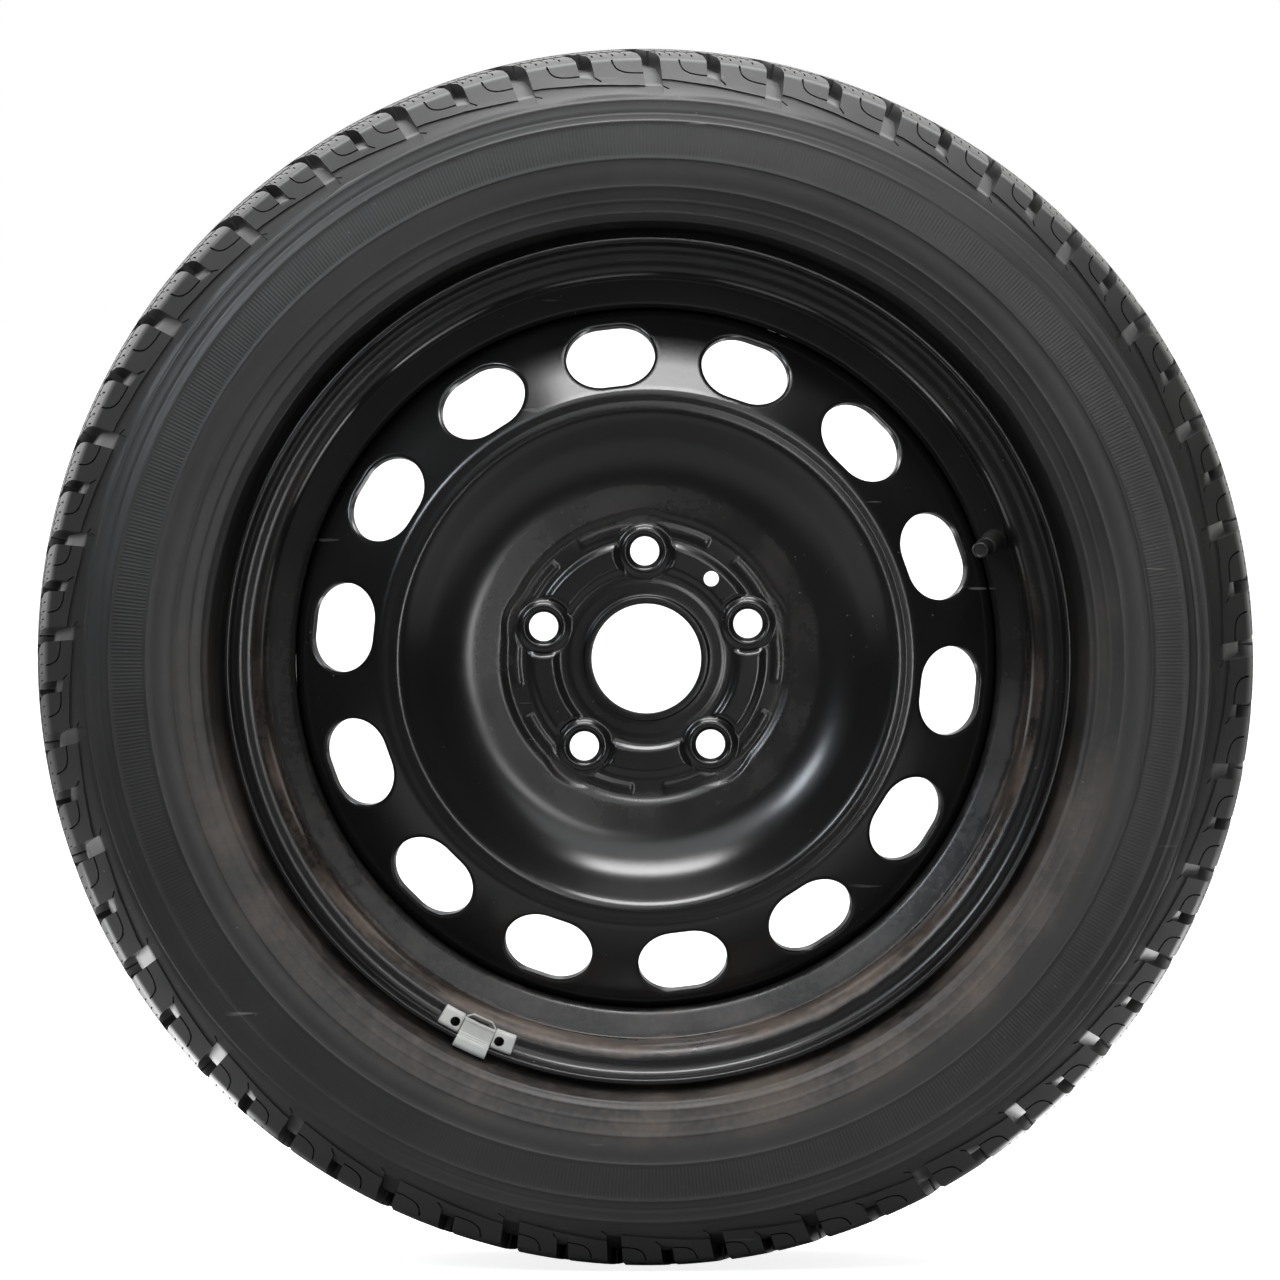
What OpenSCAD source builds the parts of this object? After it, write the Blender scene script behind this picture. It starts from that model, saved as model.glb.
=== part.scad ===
// Steel road wheel with its tubeless winter tyre, snap-in valve and one clip-on balance weight.
// The wheel stands upright: it spins about the Y axis, and its outer face looks towards -Y.

/* [Tyre] */
// Outside diameter of the tyre
tyre_od = 636; // [628:1:646]
// Width of the tyre at the widest point of its sidewalls
section_w = 214; // [208:1:224]
// Height of the widest point, as a share of the sidewall above the rim
widest_share = 0.367; // [0.3:0.01:0.45]
// Width of the tread between its two edges
tread_w = 176; // [166:1:182]
// How far the tread falls from its middle to its edges
crown_drop = 2.8; // [1:0.2:5]
// Rubber and belts under the floor of the tread grooves
under_tread = 7; // [5:0.5:10]
// Thickness of the sidewall at its widest point
sidewall_t = 8; // [6:0.5:10]

/* [Tread] */
// Depth of the tread grooves
groove_depth = 8; // [5:0.5:9]
// Share by which each class of tread pitch is longer than the one below it, which breaks up the tread noise
pitch_step = 0.08; // [0:0.01:0.1]
// Angle of the first long cross groove, seen from outside
pitch_start = 1.2; // [0:0.1:10]
// Distance of the inner ring grooves from the middle of the tread
inner_groove_z = 21; // [16:1:26]
// Width of the inner ring grooves
inner_groove_w = 9; // [6:0.5:11]
// Distance of the outer ring grooves from the middle of the tread
outer_groove_z = 56; // [50:1:60]
// Width of the outer ring grooves
outer_groove_w = 7; // [5:0.5:9]
// Width of the long cross grooves
long_groove_w = 8.4; // [6:0.2:10]
// Width of the short cross grooves
short_groove_w = 6.6; // [5:0.2:8]
// Drop from the top of the tread to the foot of the long cross grooves
long_foot_drop = 23.5; // [20:0.5:28]
// Drop from the top of the tread to the foot of the short cross grooves
short_foot_drop = 15.5; // [12:0.5:19]
// Angle by which the cross grooves lean away from the axle direction
groove_slant = 10; // [0:1:20]

/* [Rim] */
// Diameter of the bead seats
seat_d = 405.6; // [405:0.1:406]
// Width of the rim between the tyre sides of its flanges
rim_w = 165.1; // [152:0.1:178]
// Height of the flange above the bead seat
flange_h = 17.3; // [16:0.1:18]
// Radius of the curl at the top of the flange, on the tyre side
flange_r = 9.5; // [9:0.1:10]
// Reach of the flange beyond the rim width
flange_b = 13; // [11:0.5:13]
// Radius of the heel between bead seat and flange, on the tyre side
heel_r = 6.5; // [5:0.5:6.5]
// Slope of the bead seats
seat_angle = 5; // [4:0.5:6]
// Thickness of the rim sheet
rim_t = 2.8; // [2.2:0.1:3.2]
// Depth of the well below the bead seats
well_depth = 17.3; // [15:0.1:20]
// Distance from the middle of the rim to the outer foot of the well
well_out_z = 51.6; // [46:0.1:53]
// Distance from the middle of the rim to the inner foot of the well
well_in_z = 9; // [4:0.5:12]

/* [Disc] */
// Distance from the middle of the rim to the hub face, towards the outside
wheel_offset = 46; // [40:0.5:50]
// Thickness of the disc sheet
disc_t = 4; // [3.5:0.1:4.5]
// Diameter of the centre bore
bore_d = 57.1; // [56:0.1:58]
// Height of the bore's collar above the hub face
collar_h = 8; // [7:0.5:10]
// Diameter of the flat pad in the middle
pad_d = 147; // [144:0.5:150]
// Width of the vented band between crest and skirt, seen from outside
band_w = 41.65; // [36:0.05:46]
// Width of the crest ring between the corners of its lip and of the band
crest_w = 8; // [6:0.5:9]
// Height of the lip along the crest ring's inner side
lip_h = 0.9; // [0.4:0.1:1.2]
// Height of the crest ring above the hub face, on its outer side
crest_h = 27.8; // [24:0.2:30]
// Slope of the vented band outside the crest
band_angle = 32; // [28:0.5:36]
// Length of the skirt that is pressed into the well
skirt_l = 28; // [22:0.5:32]

/* [Bolt circle] */
// Number of wheel bolts
bolt_count = 5;
// Diameter of the bolt circle
bolt_pcd = 112; // [108:1:114]
// Diameter of the bolt holes
bolt_hole_d = 15.2; // [14.5:0.1:15.6]
// Angle of the first bolt hole, seen from outside
bolt_phase = 18.8; // [0:0.1:72]
// Diameter of the ball seat at the face of each boss
seat_mouth_d = 19.6; // [18:0.1:21]
// Radius of the ball seat
seat_ball_r = 13; // [12:0.5:14]
// Diameter of each bolt boss at its foot
boss_d = 28.5; // [26:0.5:30]
// Height of each bolt boss above the pad
boss_h = 2; // [1:0.1:3]
// Radius of the flat pocket round each boss
pocket_r = 20.6; // [18:0.1:22]
// Diameter of the locating hole
locating_d = 8; // [6:0.5:9]
// Angle of the locating hole, seen from outside
locating_angle = 50.8; // [46:0.1:56]
// Distance of the locating hole from the axle
locating_r = 53.6; // [50:0.1:56]

/* [Pad ribs] */
// Middle radius of the raised fields between the bolts
field_r = 53.8; // [52:0.1:56]
// Width of the raised fields
field_w = 17; // [14:0.5:18]
// Height of the raised fields
field_h = 1.7; // [1:0.1:2.2]
// Angle that each raised field spans
field_span = 38; // [30:1:42]
// Inner radius of the low outer ring
ring_in_r = 66; // [65:0.1:67]
// Outer radius of the low outer ring
ring_out_r = 70.4; // [69:0.1:71]
// Height of the low outer ring
ring_h = 0.8; // [0.4:0.1:1.2]
// Angle of each gap in the low outer ring
ring_gap = 13.6; // [8:0.1:18]

/* [Vents] */
// Number of vent holes
vent_count = 14;
// Length of a vent hole round the wheel
vent_l = 46.4; // [42:0.2:50]
// Width of a vent hole along the slope of the band
vent_w = 36.4; // [32:0.2:38]
// Distance of the vent holes from the middle of the band, towards the axle
vent_shift = 1.9; // [0:0.1:3]
// Angle of the first vent hole, seen from outside
vent_phase = 19.7; // [0:0.1:25]

/* [Welds] */
// Number of weld beads between disc and rim
weld_count = 8; // [4:1:12]
// Angle that each weld bead spans
weld_span = 26; // [16:1:28]
// Leg of the weld bead
weld_leg = 3.6; // [3:0.1:3.9]

/* [Valve] */
// Angle of the valve, seen from outside
valve_angle = 18.4; // [0:0.1:36]
// Diameter of the valve hole in the rim
valve_hole_d = 11.3; // [11:0.1:11.6]
// Height of the valve with its cap above the rim
valve_h = 36.5; // [33:0.5:38]
// Height of the rubber above the rim
valve_rubber_h = 23; // [20:0.5:24]
// Diameter of the rubber where it meets the rim
valve_lip_d = 14.2; // [13.6:0.1:15]
// Diameter of the rubber button inside the tyre
valve_button_d = 19; // [17:0.5:20]
// Thickness of the rubber button inside the tyre
valve_button_h = 7; // [6:0.5:8]
// Diameter of the threaded stem
stem_d = 7.7; // [7.5:0.1:8]
// Diameter of the stem's bore
stem_bore_d = 5.2; // [5:0.1:5.4]
// Outside diameter of the cap
cap_d = 9.6; // [9.2:0.1:10]

/* [Balance weight] */
// Angle of the weight's middle, seen from outside
weight_angle = 245.2; // [200:0.1:320]
// Length of the weight round the rim
weight_l = 41; // [36:0.5:50]
// Width of the spring clip
clip_w = 18; // [14:0.5:20]
// Thickness of the clip's strip
clip_t = 1; // [0.8:0.1:1.2]
// Diameter of the hole in each end of the weight
weight_hole_d = 5; // [4:0.1:6]

/* [Fits] */
// Gap between pieces that touch on the real wheel
seat_gap = 0.1; // [0.05:0.01:0.2]

/* [Hidden] */

// Facets of the large rings, the holes and the small round pieces
ring_fn = 180;
hole_fn = 64;
small_fn = 40;
// Steps in a bend, a small length that carries a cutter past a face, and one that sinks a foot into a floor
bend_steps = 5;
past = 1;
sunk = 0.1;

tyre_r = tyre_od / 2;
seat_r = seat_d / 2;
well_r = seat_r - well_depth;
half_rim = rim_w / 2;
half_tread = tread_w / 2;
half_section = section_w / 2;
curl_r = seat_r + flange_h - flange_r;
curl_z = half_rim + flange_r;
pad_top = wheel_offset + disc_t;
full_turn = 360;
half_turn = 180;

// Plane geometry, with points as [radius, height]
function unit(v) = v / norm(v);
function along(angle) = [cos(angle), sin(angle)];
function turn(a, b) = let (d = b - a) d > half_turn ? d - full_turn : d < -half_turn ? d + full_turn : d;
function arc(centre, r, from, to, steps) =
    [for (i = [0:steps]) centre + r * along(from + (to - from) * i / steps)];

// Points of the bend at the corner b between a and c, with the radius wanted or the largest that fits the room
function bend(a, b, c, wanted, room) =
    let (
        u = unit(a - b),
        v = unit(c - b),
        half = acos(u * v) / 2,
        r = min(wanted, room * tan(half)),
        start = b + u * r / tan(half),
        end = b + v * r / tan(half),
        centre = b + unit(u + v) * r / sin(half),
        from = atan2(start.y - centre.y, start.x - centre.x),
        to = atan2(end.y - centre.y, end.x - centre.x)
    )
    arc(centre, r, from, from + turn(from, to), bend_steps);

// A path of corners [radius, height, bend], with every bend rounded
function rounded(corners) =
    let (last = len(corners) - 1, p = [for (c = corners) [c.x, c.y]])
    [for (i = [0:last]) each (i == 0 || i == last || corners[i].z == 0)
        ? [p[i]]
        : bend(p[i - 1], p[i], p[i + 1], corners[i].z, min(
            norm(p[i] - p[i - 1]) / (i == 1 ? 1 : 2),
            norm(p[i + 1] - p[i]) / (i == last - 1 ? 1 : 2)))];

function direction(path, i) = unit(path[i + 1] - path[i]);
function left_of(v) = [-v.y, v.x];

// The path moved sideways by d, kept parallel at every corner
function beside(path, d) =
    let (last = len(path) - 1)
    [for (i = [0:last])
        let (
            before = left_of(direction(path, max(i - 1, 0))),
            after = left_of(direction(path, min(i, last - 1))),
            middle = unit(before + after)
        )
        path[i] + middle * d / (middle * before)];

function backwards(list) = [for (i = [len(list) - 1:-1:0]) list[i]];
function flipped(list) = [for (p = backwards(list)) [p.x, -p.y]];

// Outline of a bent sheet of thickness t about its middle line
function sheet(corners, t) =
    let (path = rounded(corners))
    concat(beside(path, t / 2), backwards(beside(path, -t / 2)));

// Everything is drawn with the axle upright and the outer face up, and is then laid on its axle
module on_axle() {
    rotate([90, 0, 0]) children();
}

module ring(outline, angle = full_turn, fn = ring_fn) {
    rotate_extrude(angle = angle, $fn = fn) polygon(outline);
}

// A sector of a ring, with its middle at the given angle
module sector(outline, middle, span) {
    rotate([0, 0, middle - span / 2]) ring(outline, span);
}

module around(count, phase) {
    for (i = [0:count - 1]) rotate([0, 0, phase + i * full_turn / count]) children();
}

// TYRE
// The tread surface falls in a long arc from the middle to the edges
crown_span = half_tread - 10;
crown_k = crown_drop / (crown_span * crown_span);
function crown(z) = tyre_r - crown_k * z * z;

// The tread surface from the middle to the shoulder, with its two ring grooves
function ring_groove(z, w) = [
    [crown(z - w / 2), z - w / 2],
    [crown(z) - groove_depth, z - w / 2 + groove_draft],
    [crown(z) - groove_depth, z + w / 2 - groove_draft],
    [crown(z + w / 2), z + w / 2]
];
groove_draft = 0.8;
tread_line = concat(
    ring_groove(inner_groove_z, inner_groove_w),
    [[crown((inner_groove_z + outer_groove_z) / 2), (inner_groove_z + outer_groove_z) / 2]],
    ring_groove(outer_groove_z, outer_groove_w)
);

// The shoulder and sidewall down to the rim flange
shoulder_bend = 7;
shoulder_in = 2.3;
long_foot_r = tyre_r - long_foot_drop;
short_foot_r = tyre_r - short_foot_drop;
buttress_r = long_foot_r - 2;
buttress_z = half_section - 4;
flank_bend = 40;
sidewall_bend = 70;
flange_edge_r = seat_r + flange_h;
wall_h = tyre_r - flange_edge_r;
widest_r = flange_edge_r + widest_share * wall_h;
rim_line_rise = 8.9089;
rim_line_r = flange_edge_r + rim_line_rise;
rim_line_z = half_section - 4.5;
rim_line_bend = 10;
widest_z = half_section + 1.2;
bead_top = [flange_edge_r + 2.5, curl_z - 4.5];
shoulder_r = crown(crown_span);
edge_r = shoulder_r - shoulder_in;
edge_z = half_tread + 0.5;
wall_line = rounded([
    [shoulder_r, crown_span, 0],
    [edge_r, edge_z, shoulder_bend],
    [buttress_r, buttress_z, flank_bend],
    [widest_r, widest_z, sidewall_bend],
    [rim_line_r, rim_line_z, rim_line_bend],
    [bead_top.x, bead_top.y, 0]
]);

// Height of the shoulder's wall at the radius r
function wall_z(r) = edge_z + (edge_r - r) * (buttress_z - edge_z) / (edge_r - buttress_r);

// The bead lies along the flange's curl, from where it meets it, and along the bead seat
bead_w = 18.5;
bead_ease = 1.6;
leave_angle = -40;
meet_angle = -62;
curl = [curl_r, curl_z];
bead_line = concat(
    [curl + (flange_r + bead_ease) * along(leave_angle)],
    arc(curl, flange_r + seat_gap, meet_angle, -90, 3),
    arc([seat_r + heel_r, half_rim - heel_r], heel_r - seat_gap, 90, 180, bend_steps),
    [[seat_r + seat_gap - bead_w * tan(seat_angle), half_rim - bead_w]]
);

// The inner liner from the bead toe over the bead's filler and the sidewall to the middle of the tread
liner_r = tyre_r - groove_depth - under_tread;
toe = [seat_r + 3, half_rim - bead_w - 1];
filler_foot = [seat_r + 13, half_rim - 15];
filler_t = 5.025;
filler_z = (rim_line_z + bead_top.y) / 2 - filler_t;
shoulder_t = 14;
belt_edge = [liner_r - 2, half_tread - 16];
belt_flat_z = 30;
belt_rise = 0.4;
liner_line = rounded([
    [toe.x, toe.y, 0],
    [filler_foot.x, filler_foot.y, 8],
    [rim_line_r, filler_z, 30],
    [widest_r, half_section - sidewall_t, 50],
    [buttress_r + 2, half_section - shoulder_t, 17],
    [belt_edge.x, belt_edge.y, 30],
    [liner_r, belt_flat_z, 40],
    [liner_r + belt_rise, 0, 0]
]);

half_tyre = concat(tread_line, wall_line, bead_line, liner_line);

// The class of each pitch in turn round the tyre, from 0 for the shortest to 4 for the longest
pitch_order = [3, 1, 2, 1, 1, 2, 3, 3, 4, 3, 0, 0, 3, 4, 1, 0, 1,
    2, 3, 3, 1, 2, 4, 1, 1, 0, 3, 2, 1, 1, 0, 1, 3];
middle_class = 2;
pitches = len(pitch_order);

// Length of pitch i and of the first n pitches, as a share of the middle class
function pitch_length(i) = 1 + pitch_step * (pitch_order[i % pitches] - middle_class);
function run_length(n) = n == 0 ? 0 : run_length(n - 1) + pitch_length(n - 1);
pattern_length = run_length(pitches);

// Angle at which i pitches have passed, where i may be a fraction
function pitch_angle(i) =
    let (whole = floor(i), run = run_length(whole) + (i - whole) * pitch_length(whole))
    pitch_start + full_turn * run / pattern_length;

// A cross groove, from the ring groove at z_from over the shoulder to its foot
cutter_top = tyre_r + 10;
cutter_side = half_section + 6;
foot_rise = 5;
foot_step = 1.2;
module cross_groove(z_from, foot_r, w) {
    rise_r = foot_r + foot_rise;
    outline = [
        [crown(z_from) - groove_depth, z_from],
        [crown(crown_span) - groove_depth, crown_span],
        [rise_r, wall_z(rise_r) - foot_step],
        [foot_r, wall_z(foot_r) - foot_step],
        [foot_r, cutter_side],
        [cutter_top, cutter_side],
        [cutter_top, z_from]
    ];
    translate([0, 0, half_tread]) rotate([groove_slant, 0, 0]) translate([0, 0, -half_tread])
        rotate([90, 0, 0]) linear_extrude(w, center = true) polygon(outline);
}

// The long and short grooves of one shoulder
module shoulder_grooves(shift) {
    for (i = [0:pitches - 1]) {
        middle = (pitch_angle(i + shift) + pitch_angle(i + 1 + shift)) / 2;
        rotate([0, 0, pitch_angle(i + shift)]) cross_groove(inner_groove_z, long_foot_r, long_groove_w);
        rotate([0, 0, middle]) cross_groove(outer_groove_z, short_foot_r, short_groove_w);
    }
}

module tyre() {
    color("dimgray") on_axle() difference() {
        ring(concat(half_tyre, flipped(half_tyre)));
        shoulder_grooves(0);
        mirror([0, 0, 1]) shoulder_grooves(0.5);
    }
}

// RIM
// Corners of the sheet's middle line, from one flange edge over the well to the other
rim_mid = rim_t / 2;
seat_w = 19;
hump_at = 23;
hump_w = 28;
hump_r = seat_r - 1.2;
small_bend = 4;
slope_end_z = -18;
seat_toe_r = seat_r - seat_w * tan(seat_angle) - rim_mid;
drop_top = [seat_r - 3.8, well_out_z + 4];
drop_foot = [well_r - rim_mid, well_out_z];
flange_top = seat_r + flange_h - rim_mid;
flange_mid_z = half_rim + rim_mid;
flange_end_z = half_rim + flange_b - 0.5;
curl_bend = flange_r - rim_mid;
heel_bend = heel_r + rim_mid;
rim_corners = [
    [flange_top, flange_end_z, 0],
    [flange_top, flange_mid_z, curl_bend],
    [seat_r - rim_mid, flange_mid_z, heel_bend],
    [seat_toe_r, half_rim - seat_w, small_bend],
    [hump_r, half_rim - hump_at, small_bend - 0.1],
    [drop_top.x, drop_top.y, small_bend - 1],
    [drop_foot.x, drop_foot.y, small_bend],
    [drop_foot.x, well_in_z, 10],
    [seat_toe_r, slope_end_z, 12],
    [seat_toe_r, hump_w - half_rim, small_bend],
    [hump_r, hump_at - half_rim, small_bend],
    [seat_toe_r, seat_w - half_rim, small_bend],
    [seat_r - rim_mid, -flange_mid_z, heel_bend],
    [flange_top, -flange_mid_z, curl_bend],
    [flange_top, -flange_end_z, 0]
];

// The valve stands square to the steep outer wall of the well
valve_lean = atan2(drop_top.y - drop_foot.y, drop_top.x - drop_foot.x);
valve_seat = (drop_top + drop_foot) / 2 + rim_mid * [-sin(valve_lean), cos(valve_lean)];
module at_valve() {
    rotate([0, 0, valve_angle]) translate([valve_seat.x, 0, valve_seat.y]) rotate([0, -valve_lean, 0])
        children();
}

valve_flat_d = valve_lip_d + 2;
module rim() {
    color("#202122") on_axle() difference() {
        union() {
            ring(sheet(rim_corners, rim_t));
            at_valve() translate([0, 0, -rim_t]) cylinder(d = valve_flat_d, h = rim_t, $fn = hole_fn);
        }
        at_valve() translate([0, 0, -rim_t - past])
            cylinder(d = valve_hole_d, h = rim_t + 2 * past, $fn = hole_fn);
    }
}

// DISC
// Corners of the sheet's middle line, from the bore's collar to the end of the skirt
disc_mid = disc_t / 2;
pad_z = wheel_offset + disc_mid;
collar_r = bore_d / 2 + disc_mid;
collar_top = wheel_offset + collar_h;
pad_r = pad_d / 2;
crest_z = wheel_offset + crest_h - disc_mid;
skirt_r = well_r - rim_t - disc_mid - seat_gap / 2;
band_top = [skirt_r - band_w, crest_z];
crest_in_r = band_top.x - crest_w;
lip_w = 0.46 * crest_w;
bowl_r = pad_r + 0.478 * (crest_in_r - pad_r);
pad_step = [3, 1.8];
bowl_rise = 3.5;
pad_bend = 5;
bowl_bend = 46;
lip_bend = 5;
band_bend = 5.5;
skirt_bend = 9;
vent_r = (band_top.x + skirt_r) / 2 - vent_shift;
band_foot_z = crest_z - (skirt_r - band_top.x) * tan(band_angle);
skirt_end_z = band_foot_z - skirt_l;
disc_corners = [
    [collar_r, collar_top, 0],
    [collar_r, pad_z, disc_mid + 0.2],
    [pad_r, pad_z, pad_bend],
    [pad_r + pad_step.x, pad_z + pad_step.y, pad_bend],
    [bowl_r, pad_z + bowl_rise, bowl_bend],
    [crest_in_r, crest_z + lip_h - 0.2, lip_bend],
    [crest_in_r + lip_w, crest_z - 0.1, lip_bend],
    [band_top.x, band_top.y, band_bend],
    [skirt_r, band_foot_z, skirt_bend],
    [skirt_r, skirt_end_z, 0]
];

// A vent is punched square to the band: two round ends joined by straight sides
module vent_shape() {
    straight = vent_l - vent_w;
    for (s = [-1, 1]) translate([0, s * straight / 2]) circle(d = vent_w, $fn = hole_fn);
    square([vent_w, straight], center = true);
}
vent_z = crest_z - (vent_r - band_top.x) * tan(band_angle);
module vent() {
    translate([vent_r, 0, vent_z]) rotate([0, band_angle, 0]) translate([0, 0, -3 * disc_t])
        linear_extrude(6 * disc_t) vent_shape();
}

// Section of a low rounded rib of width w and height h, on a floor at z
rib_foot = 1.5;
function rib(r, w, h, z) = [
    [r - w / 2 - rib_foot, z], [r - w / 2, z + 0.45 * h],
    [r - w / 2 + 2, z + 0.9 * h], [r - w / 4 + 0.5, z + h],
    [r + w / 4 - 0.5, z + h], [r + w / 2 - 2, z + 0.9 * h],
    [r + w / 2, z + 0.45 * h], [r + w / 2 + rib_foot, z]
];

// The raised fields between the bolts, with their floor at z
module fields(z) {
    outline = concat(rib(field_r, field_w, field_h, z), [[field_r + field_w / 2 + rib_foot, z - disc_mid],
        [field_r - field_w / 2 - rib_foot, z - disc_mid]]);
    for (i = [0:bolt_count - 1])
        sector(outline, bolt_phase + (i + 0.5) * full_turn / bolt_count, field_span);
}

module outer_ring() {
    outline = [[ring_in_r, pad_z], [ring_in_r, pad_top], [ring_in_r + ring_h, pad_top + ring_h],
        [ring_out_r - ring_h, pad_top + ring_h], [ring_out_r, pad_top], [ring_out_r, pad_z]];
    pitch = full_turn / bolt_count;
    difference() {
        for (i = [0:bolt_count - 1]) sector(outline, bolt_phase + i * pitch, pitch - ring_gap);
        at_bolts() cylinder(d = boss_d + 3, h = 2 * pad_top, $fn = hole_fn);
    }
}

// A bolt boss, which is a low cone on the pad
module boss() {
    translate([0, 0, pad_z]) cylinder(d = boss_d, h = disc_mid - sunk, $fn = hole_fn);
    translate([0, 0, pad_top - sunk])
        cylinder(d1 = boss_d, d2 = boss_d - 4 * boss_h, h = boss_h + sunk, $fn = hole_fn);
}

// The hole and ball seat of a bolt
module bolt_cut() {
    seat_rise = sqrt(pow(seat_ball_r, 2) - pow(seat_mouth_d / 2, 2));
    translate([0, 0, wheel_offset - past])
        cylinder(d = bolt_hole_d, h = disc_t + boss_h + 2 * past, $fn = hole_fn);
    translate([0, 0, pad_top + boss_h + seat_rise]) sphere(r = seat_ball_r, $fn = hole_fn);
}

module at_bolts() {
    around(bolt_count, bolt_phase) translate([bolt_pcd / 2, 0, 0]) children();
}

module wheel_disc() {
    color("#1c1d1e") on_axle() difference() {
        union() {
            difference() {
                ring(sheet(disc_corners, disc_t));
                at_bolts() translate([0, 0, pad_top + sunk])
                    cylinder(r = pocket_r, h = 4 * disc_t, $fn = hole_fn);
            }
            fields(pad_top - sunk);
            outer_ring();
            at_bolts() boss();
        }
        fields(wheel_offset - sunk);
        at_bolts() bolt_cut();
        rotate([0, 0, locating_angle]) translate([locating_r, 0, wheel_offset - past])
            cylinder(d = locating_d, h = disc_t + field_h + 2 * past, $fn = hole_fn);
        around(vent_count, vent_phase) vent();
    }
}

// Short fillet welds between the end of the skirt and the well
module disc_welds() {
    wall = well_r - rim_t;
    outline = [[wall - weld_leg, skirt_end_z], [wall, skirt_end_z], [wall, skirt_end_z - weld_leg],
        [wall - 0.45 * weld_leg, skirt_end_z - 0.8 * weld_leg],
        [wall - 0.8 * weld_leg, skirt_end_z - 0.45 * weld_leg]];
    color("#2a2a2b") on_axle() for (i = [0:weld_count - 1])
        sector(outline, (i + 0.5) * full_turn / weld_count, weld_span);
}

// VALVE
// Heights along the valve, from the outer surface of the rim
stem_top = valve_h - 3.2;
stem_foot = -rim_t - valve_button_h + 2;
stem_shank_d = 6.6;
stem_hole_d = 3.4;
core_seat = stem_top - 19;
button_end = -rim_t - valve_button_h;

// The room that the well takes from the button, which is squeezed flat there
module well_corner() {
    corner_r = well_r + seat_gap;
    corner_z = well_out_z - rim_mid + seat_gap;
    ring([[corner_r - 20, well_in_z], [corner_r, well_in_z], [corner_r, corner_z - 3.5],
        [corner_r + 3, corner_z], [corner_r - 20, corner_z]]);
}

module valve_body() {
    stem = stem_shank_d / 2;
    thread = stem_d / 2;
    outline = [
        [stem, button_end], [valve_button_d / 2 - 1.2, button_end], [valve_button_d / 2, button_end + 1.2],
        [valve_button_d / 2, -rim_t - 2.5], [valve_hole_d / 2 + 0.8, -rim_t - seat_gap],
        [valve_hole_d / 2 - seat_gap, -rim_t - seat_gap], [valve_hole_d / 2 - seat_gap, seat_gap],
        [valve_lip_d / 2, seat_gap], [valve_lip_d / 2, 1], [valve_lip_d / 2 - 0.9, 2.2],
        [valve_lip_d / 2 - 1.4, 5], [thread + 1.9, valve_rubber_h - 8], [thread + 1.5, valve_rubber_h - 0.6],
        [thread + 0.9, valve_rubber_h], [thread, valve_rubber_h], [thread, valve_rubber_h - 6],
        [stem, valve_rubber_h - 7]
    ];
    color("#262626") on_axle() difference() {
        at_valve() ring(outline, fn = hole_fn);
        well_corner();
    }
}

module valve_stem() {
    stem = stem_shank_d / 2;
    thread = stem_d / 2;
    hole = stem_hole_d / 2;
    bore = stem_bore_d / 2;
    outline = [
        [hole, stem_foot], [stem - seat_gap / 2, stem_foot],
        [stem - seat_gap / 2, valve_rubber_h - 7 + seat_gap / 2],
        [thread - seat_gap / 2, valve_rubber_h - 6 + seat_gap / 2], [thread - seat_gap / 2, stem_top - 0.6],
        [thread - 0.6, stem_top], [bore + 0.3, stem_top], [bore, stem_top - 0.3], [bore, core_seat],
        [hole, core_seat - 1.2]
    ];
    color("goldenrod") on_axle() at_valve() ring(outline, fn = hole_fn);
}

// The valve core: a threaded barrel, its gasket, and a sprung pin with a cup seal
barrel_top = stem_top - 1.2;
barrel_l = 8;
barrel_foot = barrel_top - barrel_l;
barrel_bore_d = 3;
bridge_h = 1.2;
bridge_w = 2.2;
pin_d = 1.3;
pin_clear = 0.05;
pin_top = stem_top - 0.3;
pin_foot = core_seat + 1.3;
cup_d = 4.2;
cup_h = 1.8;
cup_top = barrel_foot - 0.15;
cup_foot = cup_top - cup_h;
foot_h = 0.9;
foot_d = 3.2;

module core_barrel() {
    wide = stem_bore_d / 2 - seat_gap / 2;
    outline = [[barrel_bore_d / 2, barrel_foot], [wide - 0.6, barrel_foot], [wide - 0.6, barrel_foot + 1.6],
        [wide, barrel_foot + 2.2], [wide, barrel_top], [barrel_bore_d / 2, barrel_top]];
    color("goldenrod") on_axle() at_valve() difference() {
        union() {
            ring(outline, fn = small_fn);
            translate([0, 0, barrel_top - bridge_h / 2])
                cube([barrel_bore_d + 0.6, bridge_w, bridge_h], center = true);
        }
        translate([0, 0, barrel_top - bridge_h - past])
            cylinder(d = pin_d + 2 * pin_clear, h = bridge_h + 2 * past, $fn = small_fn);
    }
}

module core_gasket() {
    inner = stem_bore_d / 2 - seat_gap / 2 - 0.6;
    outer = stem_bore_d / 2 - seat_gap / 2;
    outline = [[inner + seat_gap / 2, barrel_foot], [outer, barrel_foot], [outer, barrel_foot + 1.5],
        [inner + seat_gap / 2, barrel_foot + 1.5]];
    color("red") on_axle() at_valve() ring(outline, fn = small_fn);
}

module core_pin() {
    outline = [[0, pin_foot], [foot_d / 2 - 0.3, pin_foot], [foot_d / 2, pin_foot + 0.3],
        [foot_d / 2, pin_foot + foot_h], [pin_d / 2, pin_foot + foot_h], [pin_d / 2, pin_top - 0.2],
        [pin_d / 2 - 0.2, pin_top], [0, pin_top]];
    color("goldenrod") on_axle() at_valve() ring(outline, fn = small_fn);
}

module core_cup() {
    outline = [[pin_d / 2, cup_foot], [cup_d / 2 - 0.4, cup_foot], [cup_d / 2, cup_foot + 0.4],
        [cup_d / 2, cup_top - 0.3], [cup_d / 2 - 0.6, cup_top], [pin_d / 2, cup_top]];
    color("black") on_axle() at_valve() ring(outline, fn = small_fn);
}

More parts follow.
